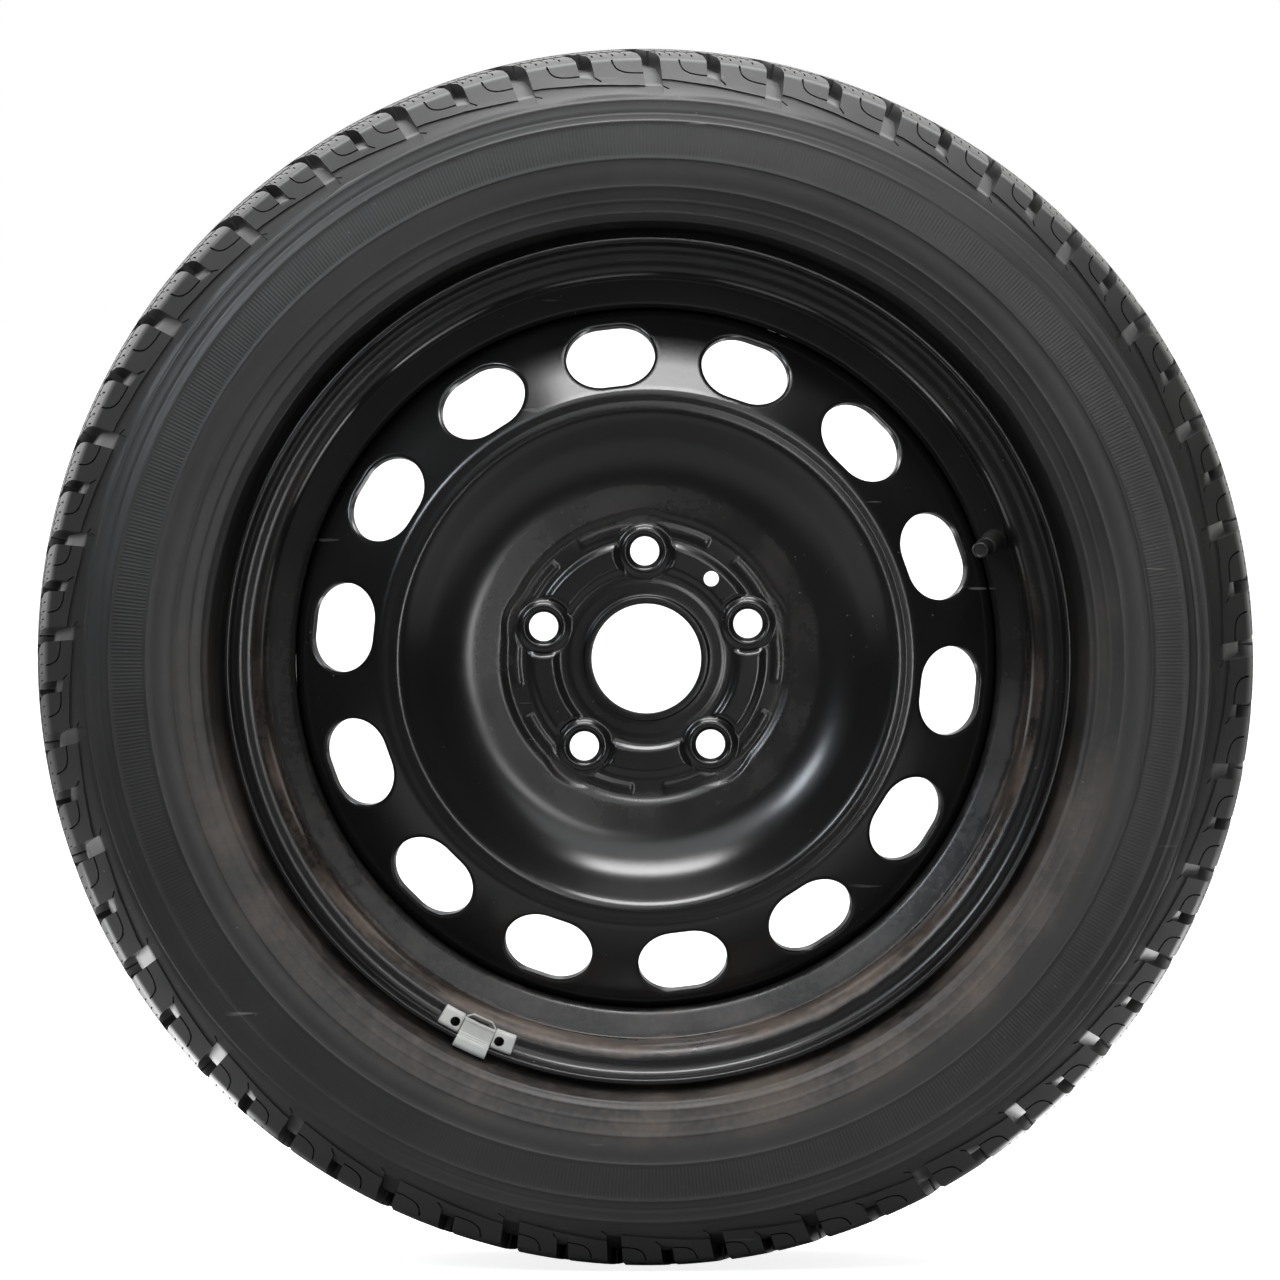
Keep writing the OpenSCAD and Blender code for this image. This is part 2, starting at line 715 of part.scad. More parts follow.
// The spring, swept along its helix, between the foot of the core chamber and the cup
wire_d = 0.4;
spring_d = 4.3;
spring_turns = 5;
spring_steps = 14;
wire_sides = 6;
spring_foot = core_seat + wire_d / 2 + 0.05;
spring_top = cup_foot - wire_d / 2 - 0.05;
function coil(t, centre_r) = [centre_r * cos(full_turn * t), centre_r * sin(full_turn * t),
    spring_foot + (spring_top - spring_foot) * t / spring_turns];
function wire_point(t, j) =
    let (a = full_turn * j / wire_sides, radial = along(full_turn * t) * wire_d / 2 * cos(a))
    coil(t, spring_d / 2 - wire_d / 2) + [radial.x, radial.y, wire_d / 2 * sin(a)];
module core_spring() {
    rings = spring_turns * spring_steps;
    points = [for (i = [0:rings], j = [0:wire_sides - 1]) wire_point(i / spring_steps, j)];
    function at(i, j) = i * wire_sides + j % wire_sides;
    walls = [for (i = [0:rings - 1], j = [0:wire_sides - 1])
        each [[at(i, j), at(i, j + 1), at(i + 1, j + 1)], [at(i, j), at(i + 1, j + 1), at(i + 1, j)]]];
    ends = [[for (j = [wire_sides - 1:-1:0]) at(0, j)], [for (j = [0:wire_sides - 1]) at(rings, j)]];
    color("silver") on_axle() at_valve() polyhedron(points, concat(walls, ends));
}

// The cap screws over the stem and holds a sealing disc
cap_foot = valve_rubber_h + 0.4;
cap_bore_d = stem_d + 0.2;
cap_roof = 1.6;
cap_flutes = 18;
seal_t = 1;
module valve_cap() {
    wide = cap_d / 2;
    outline = [[cap_bore_d / 2, cap_foot], [wide - 0.3, cap_foot], [wide, cap_foot + 0.5],
        [wide - 0.15, valve_h - 2.2], [wide - 0.9, valve_h - 0.5], [wide - 1.7, valve_h], [0, valve_h],
        [0, valve_h - cap_roof], [cap_bore_d / 2, valve_h - cap_roof]];
    color("#1e1e1f") on_axle() at_valve() difference() {
        ring(outline, fn = hole_fn);
        around(cap_flutes, 0) translate([wide + 0.25, 0, cap_foot + 1.5])
            cylinder(d = 1, h = valve_h - cap_foot - 5, $fn = 16);
    }
}

module cap_seal() {
    color("#303030") on_axle() at_valve() translate([0, 0, valve_h - cap_roof - seal_t])
        cylinder(d = cap_bore_d, h = seal_t, $fn = small_fn);
}

// BALANCE WEIGHT
// The weight fills the hollow of the flange, and a spring clip holds it over the flange's edge
weight_r = curl_r + 1.5;
weight_face = half_rim + flange_b + 0.2;
function span_of(length) = length / weight_r * half_turn / PI;
weight_span = span_of(weight_l);
clip_span = span_of(clip_w);
hollow_r = flange_r - rim_t - 2 * seat_gap;
weight_in_r = curl_r - 5.4;
waist = clip_t + seat_gap;
function weight_outline(drop) = concat(
    arc(curl, hollow_r, -90, 8, 8),
    [[curl_r + hollow_r - 0.6, weight_face - drop - 1], [curl_r + hollow_r - 1.8, weight_face - drop],
    [weight_in_r + 1.4, weight_face - drop], [weight_in_r, weight_face - drop - 1.4],
    [weight_in_r, half_rim + rim_t + 3], [weight_in_r + 2.6, curl_z - hollow_r]]
);
module balance_weight() {
    tab = (weight_span - clip_span) / 2;
    tab_middle = (weight_span + clip_span) / 4;
    color("#c9cdcb") on_axle() difference() {
        union() {
            for (s = [-1, 1]) sector(weight_outline(0), weight_angle + s * tab_middle, tab);
            sector(weight_outline(waist), weight_angle, clip_span + 0.4);
        }
        for (s = [-1, 1]) rotate([0, 0, weight_angle + s * tab_middle * 1.02])
            translate([weight_r - 0.3, 0, weight_face - 4]) cylinder(d = weight_hole_d, h = 6, $fn = hole_fn);
    }
}

// The strip of the clip, from its inner loop over the weight and the flange edge
clip_mid = clip_t / 2;
clip_ease = 0.1;
clip_hook_r = flange_r + seat_gap + clip_mid;
clip_face = weight_face - waist + seat_gap + clip_mid;
clip_bulge_r = curl_r + flange_r + 3.2;
hook_start = curl + clip_hook_r * along(-14);
clip_path = concat(
    rounded([
        [weight_in_r - 1.1, weight_face - 5, 0],
        [weight_in_r - 1.1, clip_face, 1],
        [curl_r + 4.5, clip_face, 3],
        [curl_r + 7.5, clip_face + 2, 3],
        [clip_bulge_r, clip_face + 2, 2.2],
        [clip_bulge_r, curl_z - 0.5, 2.2],
        [hook_start.x, hook_start.y, 0]
    ]),
    arc(curl, clip_hook_r, -20, -44, 3)
);
module weight_clip() {
    outline = concat(beside(clip_path, clip_mid), backwards(beside(clip_path, -clip_mid)));
    color("#c4c8c6") on_axle() sector(outline, weight_angle, clip_span - clip_ease);
}

tyre();
rim();
wheel_disc();
disc_welds();
valve_body();
valve_stem();
core_barrel();
core_gasket();
core_pin();
core_cup();
core_spring();
valve_cap();
cap_seal();
balance_weight();
weight_clip();
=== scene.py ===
"""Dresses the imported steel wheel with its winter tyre, valve and balance weight.

The classes hold their sizes in millimetres, in the wheel's own frame: the radius r, the angle theta as
seen from outside, and the height z towards the outside. Meshes are in metres in the part's frame, where
x is r cos(theta), y is -z and z is r sin(theta).
"""

import logging
import math
from dataclasses import dataclass
from enum import Enum
from typing import Callable, Iterable, Sequence

import bmesh
import bpy
import numpy as np
from mathutils import Matrix, Vector, geometry


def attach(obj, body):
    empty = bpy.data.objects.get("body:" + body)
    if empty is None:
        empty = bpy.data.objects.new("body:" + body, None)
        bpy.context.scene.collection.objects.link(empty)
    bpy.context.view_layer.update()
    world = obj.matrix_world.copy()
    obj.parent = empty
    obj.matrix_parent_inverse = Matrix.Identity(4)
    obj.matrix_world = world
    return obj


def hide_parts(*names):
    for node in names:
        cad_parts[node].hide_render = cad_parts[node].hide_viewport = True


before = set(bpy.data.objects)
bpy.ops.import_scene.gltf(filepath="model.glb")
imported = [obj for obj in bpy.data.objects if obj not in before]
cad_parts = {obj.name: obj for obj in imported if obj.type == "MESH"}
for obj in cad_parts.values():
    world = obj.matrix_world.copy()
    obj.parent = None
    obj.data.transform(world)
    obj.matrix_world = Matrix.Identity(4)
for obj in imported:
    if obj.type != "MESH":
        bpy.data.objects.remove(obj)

log = logging.getLogger("wheel")
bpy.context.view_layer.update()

MM = 0.001
# The angle in degrees over which an edge is sharp
SHARP = 32
# The distance in metres under which points become one
WELD = 2e-6
# Radius of the bead seats, half the rim's width, and the centre (r, z) of the flange's curl
SEAT_R = 202.8
HALF_RIM = 82.55
CURL = (210.6, 92.05)
# Heights below the axle, in metres, between which a ring's low share grows to its full amount, so that its
# mark is strongest towards the bottom
LOW_FROM, LOW_TO = -0.08, 0.2
Corner = tuple[float, float, float]
Colour = tuple[float, float, float, float]


# Plane geometry in (r, z)
def along(angle: float) -> np.ndarray:
    """The unit vector at an angle in degrees."""
    a = math.radians(angle)
    return np.array([math.cos(a), math.sin(a)])


def unit(v: np.ndarray) -> np.ndarray:
    """The vector made one long."""
    return v / np.linalg.norm(v)


def arc(centre: Sequence[float], radius: float, start: float, end: float, steps: int) -> np.ndarray:
    """Points on an arc between two angles in degrees."""
    return np.array([np.array(centre) + radius * along(start + (end - start) * i / steps)
                     for i in range(steps + 1)])


def rounded(corners: Sequence[Corner], steps: int = 8) -> np.ndarray:
    """Turns corners with bend radii into a smooth path.

    Args:
        corners: radius, height and bend radius of each corner.
        steps: steps in each bend.

    Returns:
        The points of the path.
    """
    points = [np.array(c[:2], float) for c in corners]
    last = len(points) - 1
    path = []
    for i, (p, corner) in enumerate(zip(points, corners)):
        if i in (0, last) or corner[2] == 0:
            path.append(p)
            continue
        u, v = unit(points[i - 1] - p), unit(points[i + 1] - p)
        half = math.acos(float(np.clip(u @ v, -1, 1))) / 2
        first, final = p + u * corner[2] / math.tan(half), p + v * corner[2] / math.tan(half)
        centre = p + unit(u + v) * corner[2] / math.sin(half)
        a, b = (math.degrees(math.atan2(*(q - centre)[::-1])) for q in (first, final))
        b = a + (b - a + 180) % 360 - 180
        path.extend(arc(centre, corner[2], a, b, steps))
    return np.array(path)


def normals_of(path: np.ndarray) -> np.ndarray:
    """Left-hand normals of a path, scaled so that a parallel path keeps its distance at every corner."""
    step = np.diff(path, axis=0)
    step /= np.linalg.norm(step, axis=1)[:, None]
    left = np.stack([-step[:, 1], step[:, 0]], 1)
    before, after = np.vstack([left[:1], left]), np.vstack([left, left[-1:]])
    middle = before + after
    middle /= np.linalg.norm(middle, axis=1)[:, None]
    return middle / np.sum(middle * before, axis=1)[:, None]


def beside(path: np.ndarray, distance: float) -> np.ndarray:
    """The path moved sideways to its left."""
    return path + normals_of(path) * distance


def lengths_of(path: np.ndarray) -> np.ndarray:
    """Length along the path up to each of its points."""
    return np.concatenate([[0], np.cumsum(np.linalg.norm(np.diff(path, axis=0), axis=1))])


def sampled(s: np.ndarray, known: np.ndarray, values: np.ndarray) -> np.ndarray:
    """Pairs of values at s, read between the rows of pairs that stand at the known lengths."""
    return np.stack([np.interp(s, known, values[:, k]) for k in (0, 1)], 1)


def smooth_step(t: np.ndarray | float) -> np.ndarray:
    """Rises smoothly from 0 to 1 as t does."""
    t = np.clip(t, 0, 1)
    return t * t * (3 - 2 * t)


def placed(r: np.ndarray, theta: np.ndarray, z: np.ndarray) -> np.ndarray:
    """Points of the wheel's own frame as metres in the part's frame; theta is in degrees."""
    a = np.radians(theta)
    r, a, z = np.broadcast_arrays(r, a, z)
    return np.stack([r * np.cos(a), -z, r * np.sin(a)], -1).reshape(-1, 3) * MM


def inside(points: np.ndarray, outline: np.ndarray) -> np.ndarray:
    """Says for each point whether it lies in the closed outline."""
    x, y = points[:, 0][:, None], points[:, 1][:, None]
    x0, y0 = outline[:, 0][None], outline[:, 1][None]
    x1, y1 = np.roll(x0, -1, 1), np.roll(y0, -1, 1)
    with np.errstate(divide="ignore", invalid="ignore"):
        crossed = ((y0 > y) != (y1 > y)) & (x < (x1 - x0) * (y - y0) / (y1 - y0) + x0)
    return crossed.sum(1) % 2 == 1


def nearest(points: np.ndarray, marks: np.ndarray) -> np.ndarray:
    """Distance from each point to the nearest of the marks."""
    return np.sqrt(((points[:, None] - marks[None]) ** 2).sum(2)).min(1)


def triangulated(loops: Sequence[np.ndarray], lines: Sequence[np.ndarray],
                 free: np.ndarray) -> tuple[np.ndarray, np.ndarray]:
    """Fills the plane with triangles that keep every given line.

    Args:
        loops: closed lines.
        lines: open lines.
        free: single points.

    Returns:
        The points and the triangles.
    """
    points: list[Sequence[float]] = []
    edges: list[tuple[int, int]] = []
    for line, closed in [(l, True) for l in loops] + [(l, False) for l in lines]:
        first = len(points)
        points.extend(line.tolist())
        count = len(line)
        edges.extend((first + i, first + (i + 1) % count) for i in range(count if closed else count - 1))
    points.extend(free.tolist())
    verts, _, faces, *_ = geometry.delaunay_2d_cdt([Vector(p) for p in points], edges, [], 0, 1e-4, False)
    flat, triangles = np.array([v[:] for v in verts]), np.array([f[:3] for f in faces])
    a, b, c = (flat[triangles[:, k]] for k in range(3))
    longest = np.max([np.linalg.norm(p - q, axis=1) for p, q in ((a, b), (b, c), (c, a))], axis=0)
    area = np.abs((b - a)[:, 0] * (c - a)[:, 1] - (b - a)[:, 1] * (c - a)[:, 0])
    return flat, triangles[area > 0.003 * longest]


def ring_faces(rows: int, columns: int, closed: bool = False) -> list[tuple[int, ...]]:
    """Faces between rows of points that each run round in a ring.

    Args:
        rows: number of rings.
        columns: points in each ring.
        closed: whether the last ring joins the first.

    Returns:
        The faces, by the points' places.
    """
    return [(i * columns + j, i * columns + (j + 1) % columns,
             (i + 1) % rows * columns + (j + 1) % columns, (i + 1) % rows * columns + j)
            for i in range(rows if closed else rows - 1) for j in range(columns)]


class Skin:
    """The points and faces of one piece while it is being made."""

    def __init__(self) -> None:
        """Starts empty."""
        self.points: list[np.ndarray] = []
        self.faces: list[tuple[int, ...]] = []
        self.count = 0

    def add(self, points: np.ndarray, faces: Iterable[Sequence[int]]) -> None:
        """Adds points and the faces between them."""
        first = self.count
        self.points.append(points)
        self.faces.extend(tuple(first + int(i) for i in f) for f in faces)
        self.count += len(points)

    def revolve(self, path: np.ndarray, angles: np.ndarray, closed: bool = True) -> None:
        """Turns a path of (r, z) about the axle.

        Args:
            path: the points of the path.
            angles: the angles in degrees at which it stands.
            closed: whether the path's end joins its start.
        """
        points = placed(path[:, :1], angles[None], path[:, 1:])
        self.add(points, ring_faces(len(path), len(angles), closed))

    def bridge(self, first: np.ndarray, second: np.ndarray) -> None:
        """Joins two closed loops of as many points by a wall."""
        self.add(np.vstack([first, second]), ring_faces(2, len(first)))

    def piece(self, name: str, body: str, slot: str, sharp: float = SHARP,
              weld: float = WELD) -> bpy.types.Object:
        """Makes the object.

        Args:
            name: the object's name.
            body: the body that it rides on.
            slot: the record's material slot, which is not used.
            sharp: the angle in degrees over which an edge is sharp.
            weld: the distance under which points become one.

        Returns:
            The new object, in the scene.
        """
        return finished(bpy.data.objects.new(name, self.mesh(name, weld)), body, sharp)

    def mesh(self, name: str, weld: float) -> bpy.types.Mesh:
        """Makes the mesh, with points closer than weld made one and the faces turned outwards."""
        mesh = bpy.data.meshes.new(name)
        mesh.from_pydata(np.vstack(self.points).tolist(), [], self.faces)
        bm = bmesh.new()
        bm.from_mesh(mesh)
        bmesh.ops.remove_doubles(bm, verts=bm.verts, dist=weld)
        bmesh.ops.dissolve_degenerate(bm, edges=bm.edges, dist=weld)
        bmesh.ops.recalc_face_normals(bm, faces=bm.faces)
        bm.to_mesh(mesh)
        bm.free()
        return mesh

    def plain(self, name: str) -> bpy.types.Object:
        """Makes an object that is only a tool or a part of a piece."""
        made = bpy.data.objects.new(name, self.mesh(name, WELD))
        bpy.context.scene.collection.objects.link(made)
        return made

    def block(self, rows: Sequence[np.ndarray]) -> None:
        """Adds a closed shape between outlines of as many points, with a face at each end."""
        n = len(rows[0])
        last = (len(rows) - 1) * n
        ends = [tuple(range(n)), tuple(range(last, last + n))]
        self.add(np.vstack(rows), ring_faces(len(rows), n) + ends)


def finished(piece: bpy.types.Object, body: str, sharp: float) -> bpy.types.Object:
    """Puts a new piece in the scene, smooths it, and lets it ride on its body."""
    bpy.context.scene.collection.objects.link(piece)
    piece.data.shade_smooth()
    piece.data.set_sharp_from_angle(angle=math.radians(sharp))
    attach(piece, body)
    return piece


def applied(piece: bpy.types.Object, sharp: float = SHARP) -> None:
    """Turns a piece's modifiers into its mesh."""
    bpy.context.view_layer.update()
    graph = bpy.context.evaluated_depsgraph_get()
    mesh = bpy.data.meshes.new_from_object(piece.evaluated_get(graph))
    piece.modifiers.clear()
    piece.data = mesh
    mesh.shade_smooth()
    mesh.set_sharp_from_angle(angle=math.radians(sharp))


def bevelled(piece: bpy.types.Object, width: float, angle: float = 40) -> None:
    """Rounds the edges of a piece that are sharper than an angle; the width is in millimetres."""
    modifier = piece.modifiers.new("edges", "BEVEL")
    modifier.width, modifier.segments, modifier.limit_method = width * MM, 3, "ANGLE"
    modifier.angle_limit = math.radians(angle)
    applied(piece)


def cut(piece: bpy.types.Object, skin: Skin, sharp: float = SHARP) -> None:
    """Cuts the closed shape of a skin out of a piece."""
    tool = skin.plain("tool")
    modifier = piece.modifiers.new("cut", "BOOLEAN")
    modifier.operation, modifier.solver, modifier.object = "DIFFERENCE", "EXACT", tool
    applied(piece, sharp)
    bpy.data.objects.remove(tool)


def joined(name: str, parts: Sequence[bpy.types.Object], body: str) -> bpy.types.Object:
    """Makes one piece of several objects, which are then deleted."""
    mesh = bpy.data.meshes.new(name)
    bm = bmesh.new()
    for part in parts:
        bm.from_mesh(part.data)
    bm.to_mesh(mesh)
    bm.free()
    for part in parts:
        bpy.data.objects.remove(part)
    return finished(bpy.data.objects.new(name, mesh), body, SHARP)


# FINISHES
class Shading:
    """Short ways to build a node tree."""

    def __init__(self, tree: bpy.types.NodeTree) -> None:
        """Takes the tree to build in."""
        self.tree = tree

    def node(self, kind: str, inputs: dict | None = None, **settings) -> bpy.types.Node:
        """Adds a node, sets its options, and sets or links its inputs."""
        made = self.tree.nodes.new(kind)
        for key, value in settings.items():
            setattr(made, key, value)
        for key, value in (inputs or {}).items():
            if isinstance(value, bpy.types.NodeSocket):
                self.tree.links.new(value, made.inputs[key])
            else:
                made.inputs[key].default_value = value
        return made

    def math(self, operation: str, *values: object) -> bpy.types.NodeSocket:
        """Adds a math node and gives its result."""
        return self.node("ShaderNodeMath", dict(enumerate(values)), operation=operation).outputs[0]

    def ramp(self, value: bpy.types.NodeSocket, low: float, high: float) -> bpy.types.NodeSocket:
        """Stretches the span from low to high over 0 to 1, smoothly."""
        made = self.node("ShaderNodeMapRange", {"Value": value, "From Min": low, "From Max": high},
                         interpolation_type="SMOOTHSTEP")
        return made.outputs["Result"]

    def mix(self, factor: object, first: object, second: object) -> bpy.types.NodeSocket:
        """Mixes two colours."""
        made = self.node("ShaderNodeMix", {0: factor, 6: first, 7: second}, data_type="RGBA")
        return made.outputs[2]

    def noise(self, scale: float, detail: float, place: bpy.types.NodeSocket) -> bpy.types.NodeSocket:
        """Adds a noise texture and gives its value."""
        made = self.node("ShaderNodeTexNoise", {"Vector": place, "Scale": scale, "Detail": detail})
        return made.outputs["Fac"]

    def place(self) -> bpy.types.NodeSocket:
        """The place on the object, in metres."""
        return self.node("ShaderNodeTexCoord").outputs["Object"]

    def polar(self) -> tuple[bpy.types.NodeSocket, bpy.types.NodeSocket, bpy.types.NodeSocket]:
        """Radius, angle in radians and height towards the outside, of the place on the object."""
        xyz = self.node("ShaderNodeSeparateXYZ", {0: self.place()}).outputs
        squares = self.math("ADD", self.math("MULTIPLY", xyz[0], xyz[0]),
                            self.math("MULTIPLY", xyz[2], xyz[2]))
        return (self.math("SQRT", squares), self.math("ARCTAN2", xyz[2], xyz[0]),
                self.math("MULTIPLY", xyz[1], -1.0))

    def seen(self) -> bpy.types.NodeSocket:
        """1 for a ray from the camera, also one that has gone through glass."""
        path = self.node("ShaderNodeLightPath").outputs
        return self.math("MAXIMUM", path["Is Camera Ray"], path["Is Transmission Ray"])

    def group(self, tree: bpy.types.NodeTree, **values: float) -> bpy.types.NodeSocket:
        """Places an effect's group and gives its first output."""
        made = self.node("ShaderNodeGroup")
        made.node_tree = tree
        for key, value in values.items():
            made.inputs[key].default_value = value
        return made.outputs[0]


def effect(name: str, inputs: dict[str, float], outputs: Sequence[str],
           build: Callable[[Shading, bpy.types.Node], dict[str, bpy.types.NodeSocket]]) -> bpy.types.NodeTree:
    """Makes a shader node group once.

    Args:
        name: the group's name.
        inputs: its number inputs with their first values.
        outputs: its number outputs.
        build: adds the nodes and gives the socket for each output.

    Returns:
        The group.
    """
    if name in bpy.data.node_groups:
        return bpy.data.node_groups[name]
    group = bpy.data.node_groups.new(name, "ShaderNodeTree")
    for key, value in inputs.items():
        group.interface.new_socket(key, in_out="INPUT", socket_type="NodeSocketFloat").default_value = value
    for key in outputs:
        group.interface.new_socket(key, in_out="OUTPUT", socket_type="NodeSocketFloat")
    shading = Shading(group)
    given = shading.node("NodeGroupInput")
    end = shading.node("NodeGroupOutput")
    for key, socket in build(shading, given).items():
        group.links.new(socket, end.inputs[key])
    return group


def ring_mask() -> bpy.types.NodeTree:
    """A group that marks the ring between two radii, in metres, with a ragged edge."""
    def build(s: Shading, given: bpy.types.Node) -> dict[str, bpy.types.NodeSocket]:
        """Adds the group's nodes."""
        radius, _, _ = s.polar()
        ragged = s.math("SUBTRACT", s.noise(38, 4, s.place()), 0.5)
        ragged = s.math("MULTIPLY", ragged, given.outputs["Ragged"])
        radius = s.math("ADD", radius, ragged)
        rise = s.math("DIVIDE", s.math("SUBTRACT", radius, given.outputs["Inner"]), given.outputs["Soft"])
        fall = s.math("DIVIDE", s.math("SUBTRACT", given.outputs["Outer"], radius), given.outputs["Soft"])
        return {"Mask": s.math("MULTIPLY", s.ramp(rise, 0, 1), s.ramp(fall, 0, 1))}
    return effect("ring mask", {"Inner": 0.1, "Outer": 0.2, "Soft": 0.002, "Ragged": 0.002}, ["Mask"], build)


def grain() -> bpy.types.NodeTree:
    """A group with the fine height of a surface: broad waves and small grain."""
    def build(s: Shading, given: bpy.types.Node) -> dict[str, bpy.types.NodeSocket]:
        """Adds the group's nodes."""
        scaled = s.node("ShaderNodeVectorMath", {0: s.place(), "Scale": given.outputs["Scale"]},
                        operation="SCALE").outputs[0]
        broad, small = s.noise(1, 2, scaled), s.noise(9, 3, scaled)
        height = s.math("ADD", s.math("MULTIPLY", broad, given.outputs["Broad"]),
                        s.math("MULTIPLY", small, given.outputs["Small"]))
        return {"Height": height}
    return effect("surface grain", {"Scale": 60, "Broad": 0.6, "Small": 0.4}, ["Height"], build)


def scuffs() -> bpy.types.NodeTree:
    """A group that marks thin scratches and small specks."""
    def build(s: Shading, given: bpy.types.Node) -> dict[str, bpy.types.NodeSocket]:
        """Adds the group's nodes."""
        lines = []
        for turn, squeeze in ((0.5, 14.0), (2.1, 17.0)):
            mapped = s.node("ShaderNodeMapping", {"Vector": s.place(), "Rotation": (0.0, turn, 0.0),
                                                  "Scale": (squeeze, squeeze, 190.0)}).outputs[0]
            lines.append(s.noise(1, 2, mapped))
        most = s.math("MAXIMUM", *lines)
        scratch = s.ramp(most, 0.735, 0.78)
        specks = s.ramp(s.noise(420, 2, s.place()), 0.735, 0.78)
        patches = s.ramp(s.noise(11, 3, s.place()), 0.42, 0.7)
        mask = s.math("MULTIPLY", s.math("MAXIMUM", scratch, specks), patches)
        return {"Mask": s.math("MULTIPLY", mask, given.outputs["Amount"])}
    return effect("scuffs", {"Amount": 1.0}, ["Mask"], build)


def dust() -> bpy.types.NodeTree:
    """A group that marks blotches, for settled dust and for the rings' marks."""
    def build(s: Shading, given: bpy.types.Node) -> dict[str, bpy.types.NodeSocket]:
        """Adds the group's nodes."""
        blots = s.ramp(s.noise(24, 6, s.place()), 0.35, 0.75)
        fine = s.ramp(s.noise(260, 3, s.place()), 0.3, 0.8)
        mask = s.math("ADD", s.math("MULTIPLY", blots, 0.7), s.math("MULTIPLY", fine, 0.3))
        return {"Mask": s.math("MULTIPLY", mask, given.outputs["Amount"])}
    return effect("settled dust", {"Amount": 1.0}, ["Mask"], build)


@dataclass(frozen=True)
class Ring:
    """A blotchy ring of another colour between two radii in millimetres; low is the share of its mark that
    only low places have.
    """

    inner: float
    outer: float
    colour: Colour
    amount: float
    soft: float = 3
    ragged: float = 6
    low: float = 0


@dataclass(frozen=True)
class Finish:
    """One material: its colours, gloss, grain and wear."""

    name: str
    colour: Colour
    second: Colour
    roughness: float
    rough_swing: float = 0.08
    metallic: float = 0.0
    specular: float = 0.5
    grain_scale: float = 60
    grain_depth: float = 0.05
    scuff: float = 0.0
    scuff_colour: Colour = (0.3, 0.3, 0.29, 1)
    dust_amount: float = 0.0
    dust_colour: Colour = (0.2, 0.17, 0.14, 1)
    rings: tuple[Ring, ...] = ()

    @property
    def title(self) -> str:
        """Name of the material, which is not the name of the record's slot."""
        return f"{self.name}_finish"

    def build(self) -> bpy.types.Material:
        """Makes the material with its nodes."""
        made = bpy.data.materials.new(self.title)
        made.use_nodes = True
        tree = made.node_tree
        tree.nodes.clear()
        s = Shading(tree)
        colour = s.mix(s.ramp(s.noise(17, 5, s.place()), 0.3, 0.7), self.colour, self.second)
        rough = s.math("MULTIPLY_ADD", s.noise(45, 4, s.place()), self.rough_swing,
                       self.roughness - self.rough_swing / 2)
        for ring in self.rings:
            mask = s.group(ring_mask(), Inner=ring.inner * MM, Outer=ring.outer * MM,
                           Soft=ring.soft * MM, Ragged=ring.ragged * MM)
            mask = s.math("MULTIPLY", mask, s.group(dust(), Amount=ring.amount))
            # A ring's low share makes its mark fade at the top and grow to full towards the bottom
            if ring.low:
                up = s.node("ShaderNodeSeparateXYZ", {0: s.place()}).outputs[2]
                down = s.ramp(s.math("MULTIPLY", up, -1.0), LOW_FROM, LOW_TO)
                settled = s.math("MULTIPLY_ADD", down, ring.low, 1 - ring.low)
                mask = s.math("MULTIPLY", mask, settled)
            colour = s.mix(mask, colour, ring.colour)
            rough = s.math("MULTIPLY_ADD", mask, 0.35, rough)
        if self.dust_amount:
            mask = s.group(dust(), Amount=self.dust_amount)
            colour = s.mix(mask, colour, self.dust_colour)
        if self.scuff:
            mask = s.group(scuffs(), Amount=self.scuff)
            colour = s.mix(mask, colour, self.scuff_colour)
            rough = s.math("MULTIPLY_ADD", mask, 0.2, rough)
        height = self.relief(s, s.group(grain(), Scale=self.grain_scale))
        bump = s.node("ShaderNodeBump", {"Height": height, "Distance": self.grain_depth * MM,
                                         "Strength": 1.0})
        shader = s.node("ShaderNodeBsdfPrincipled", {
            "Base Color": colour, "Roughness": rough, "Metallic": self.metallic,
            "Specular IOR Level": self.specular, "Normal": bump.outputs[0]})
        end = s.node("ShaderNodeOutputMaterial", {"Surface": shader.outputs[0]})
        end.target = "ALL"
        return made

    def relief(self, s: Shading, height: bpy.types.NodeSocket) -> bpy.types.NodeSocket:
        """Height with what else the surface carries; a plain finish carries nothing."""
        return height


@dataclass(frozen=True)
class RibbedFinish(Finish):
    """The tyre's rubber, with fine ribs along the radius in one band of its sidewall."""

    rib_count: int = 900
    rib_inner: float = 262
    rib_outer: float = 279
    rib_soft: float = 0.8
    rib_height: float = 1.6

    def relief(self, s: Shading, height: bpy.types.NodeSocket) -> bpy.types.NodeSocket:
        """Adds the ribs to the height."""
        _, angle, _ = s.polar()
        wave = s.math("SINE", s.math("MULTIPLY", angle, float(self.rib_count)))
        band = s.group(ring_mask(), Inner=self.rib_inner * MM, Outer=self.rib_outer * MM,
                       Soft=self.rib_soft * MM, Ragged=0.0)
        return s.math("MULTIPLY_ADD", s.math("MULTIPLY", wave, band), self.rib_height, height)


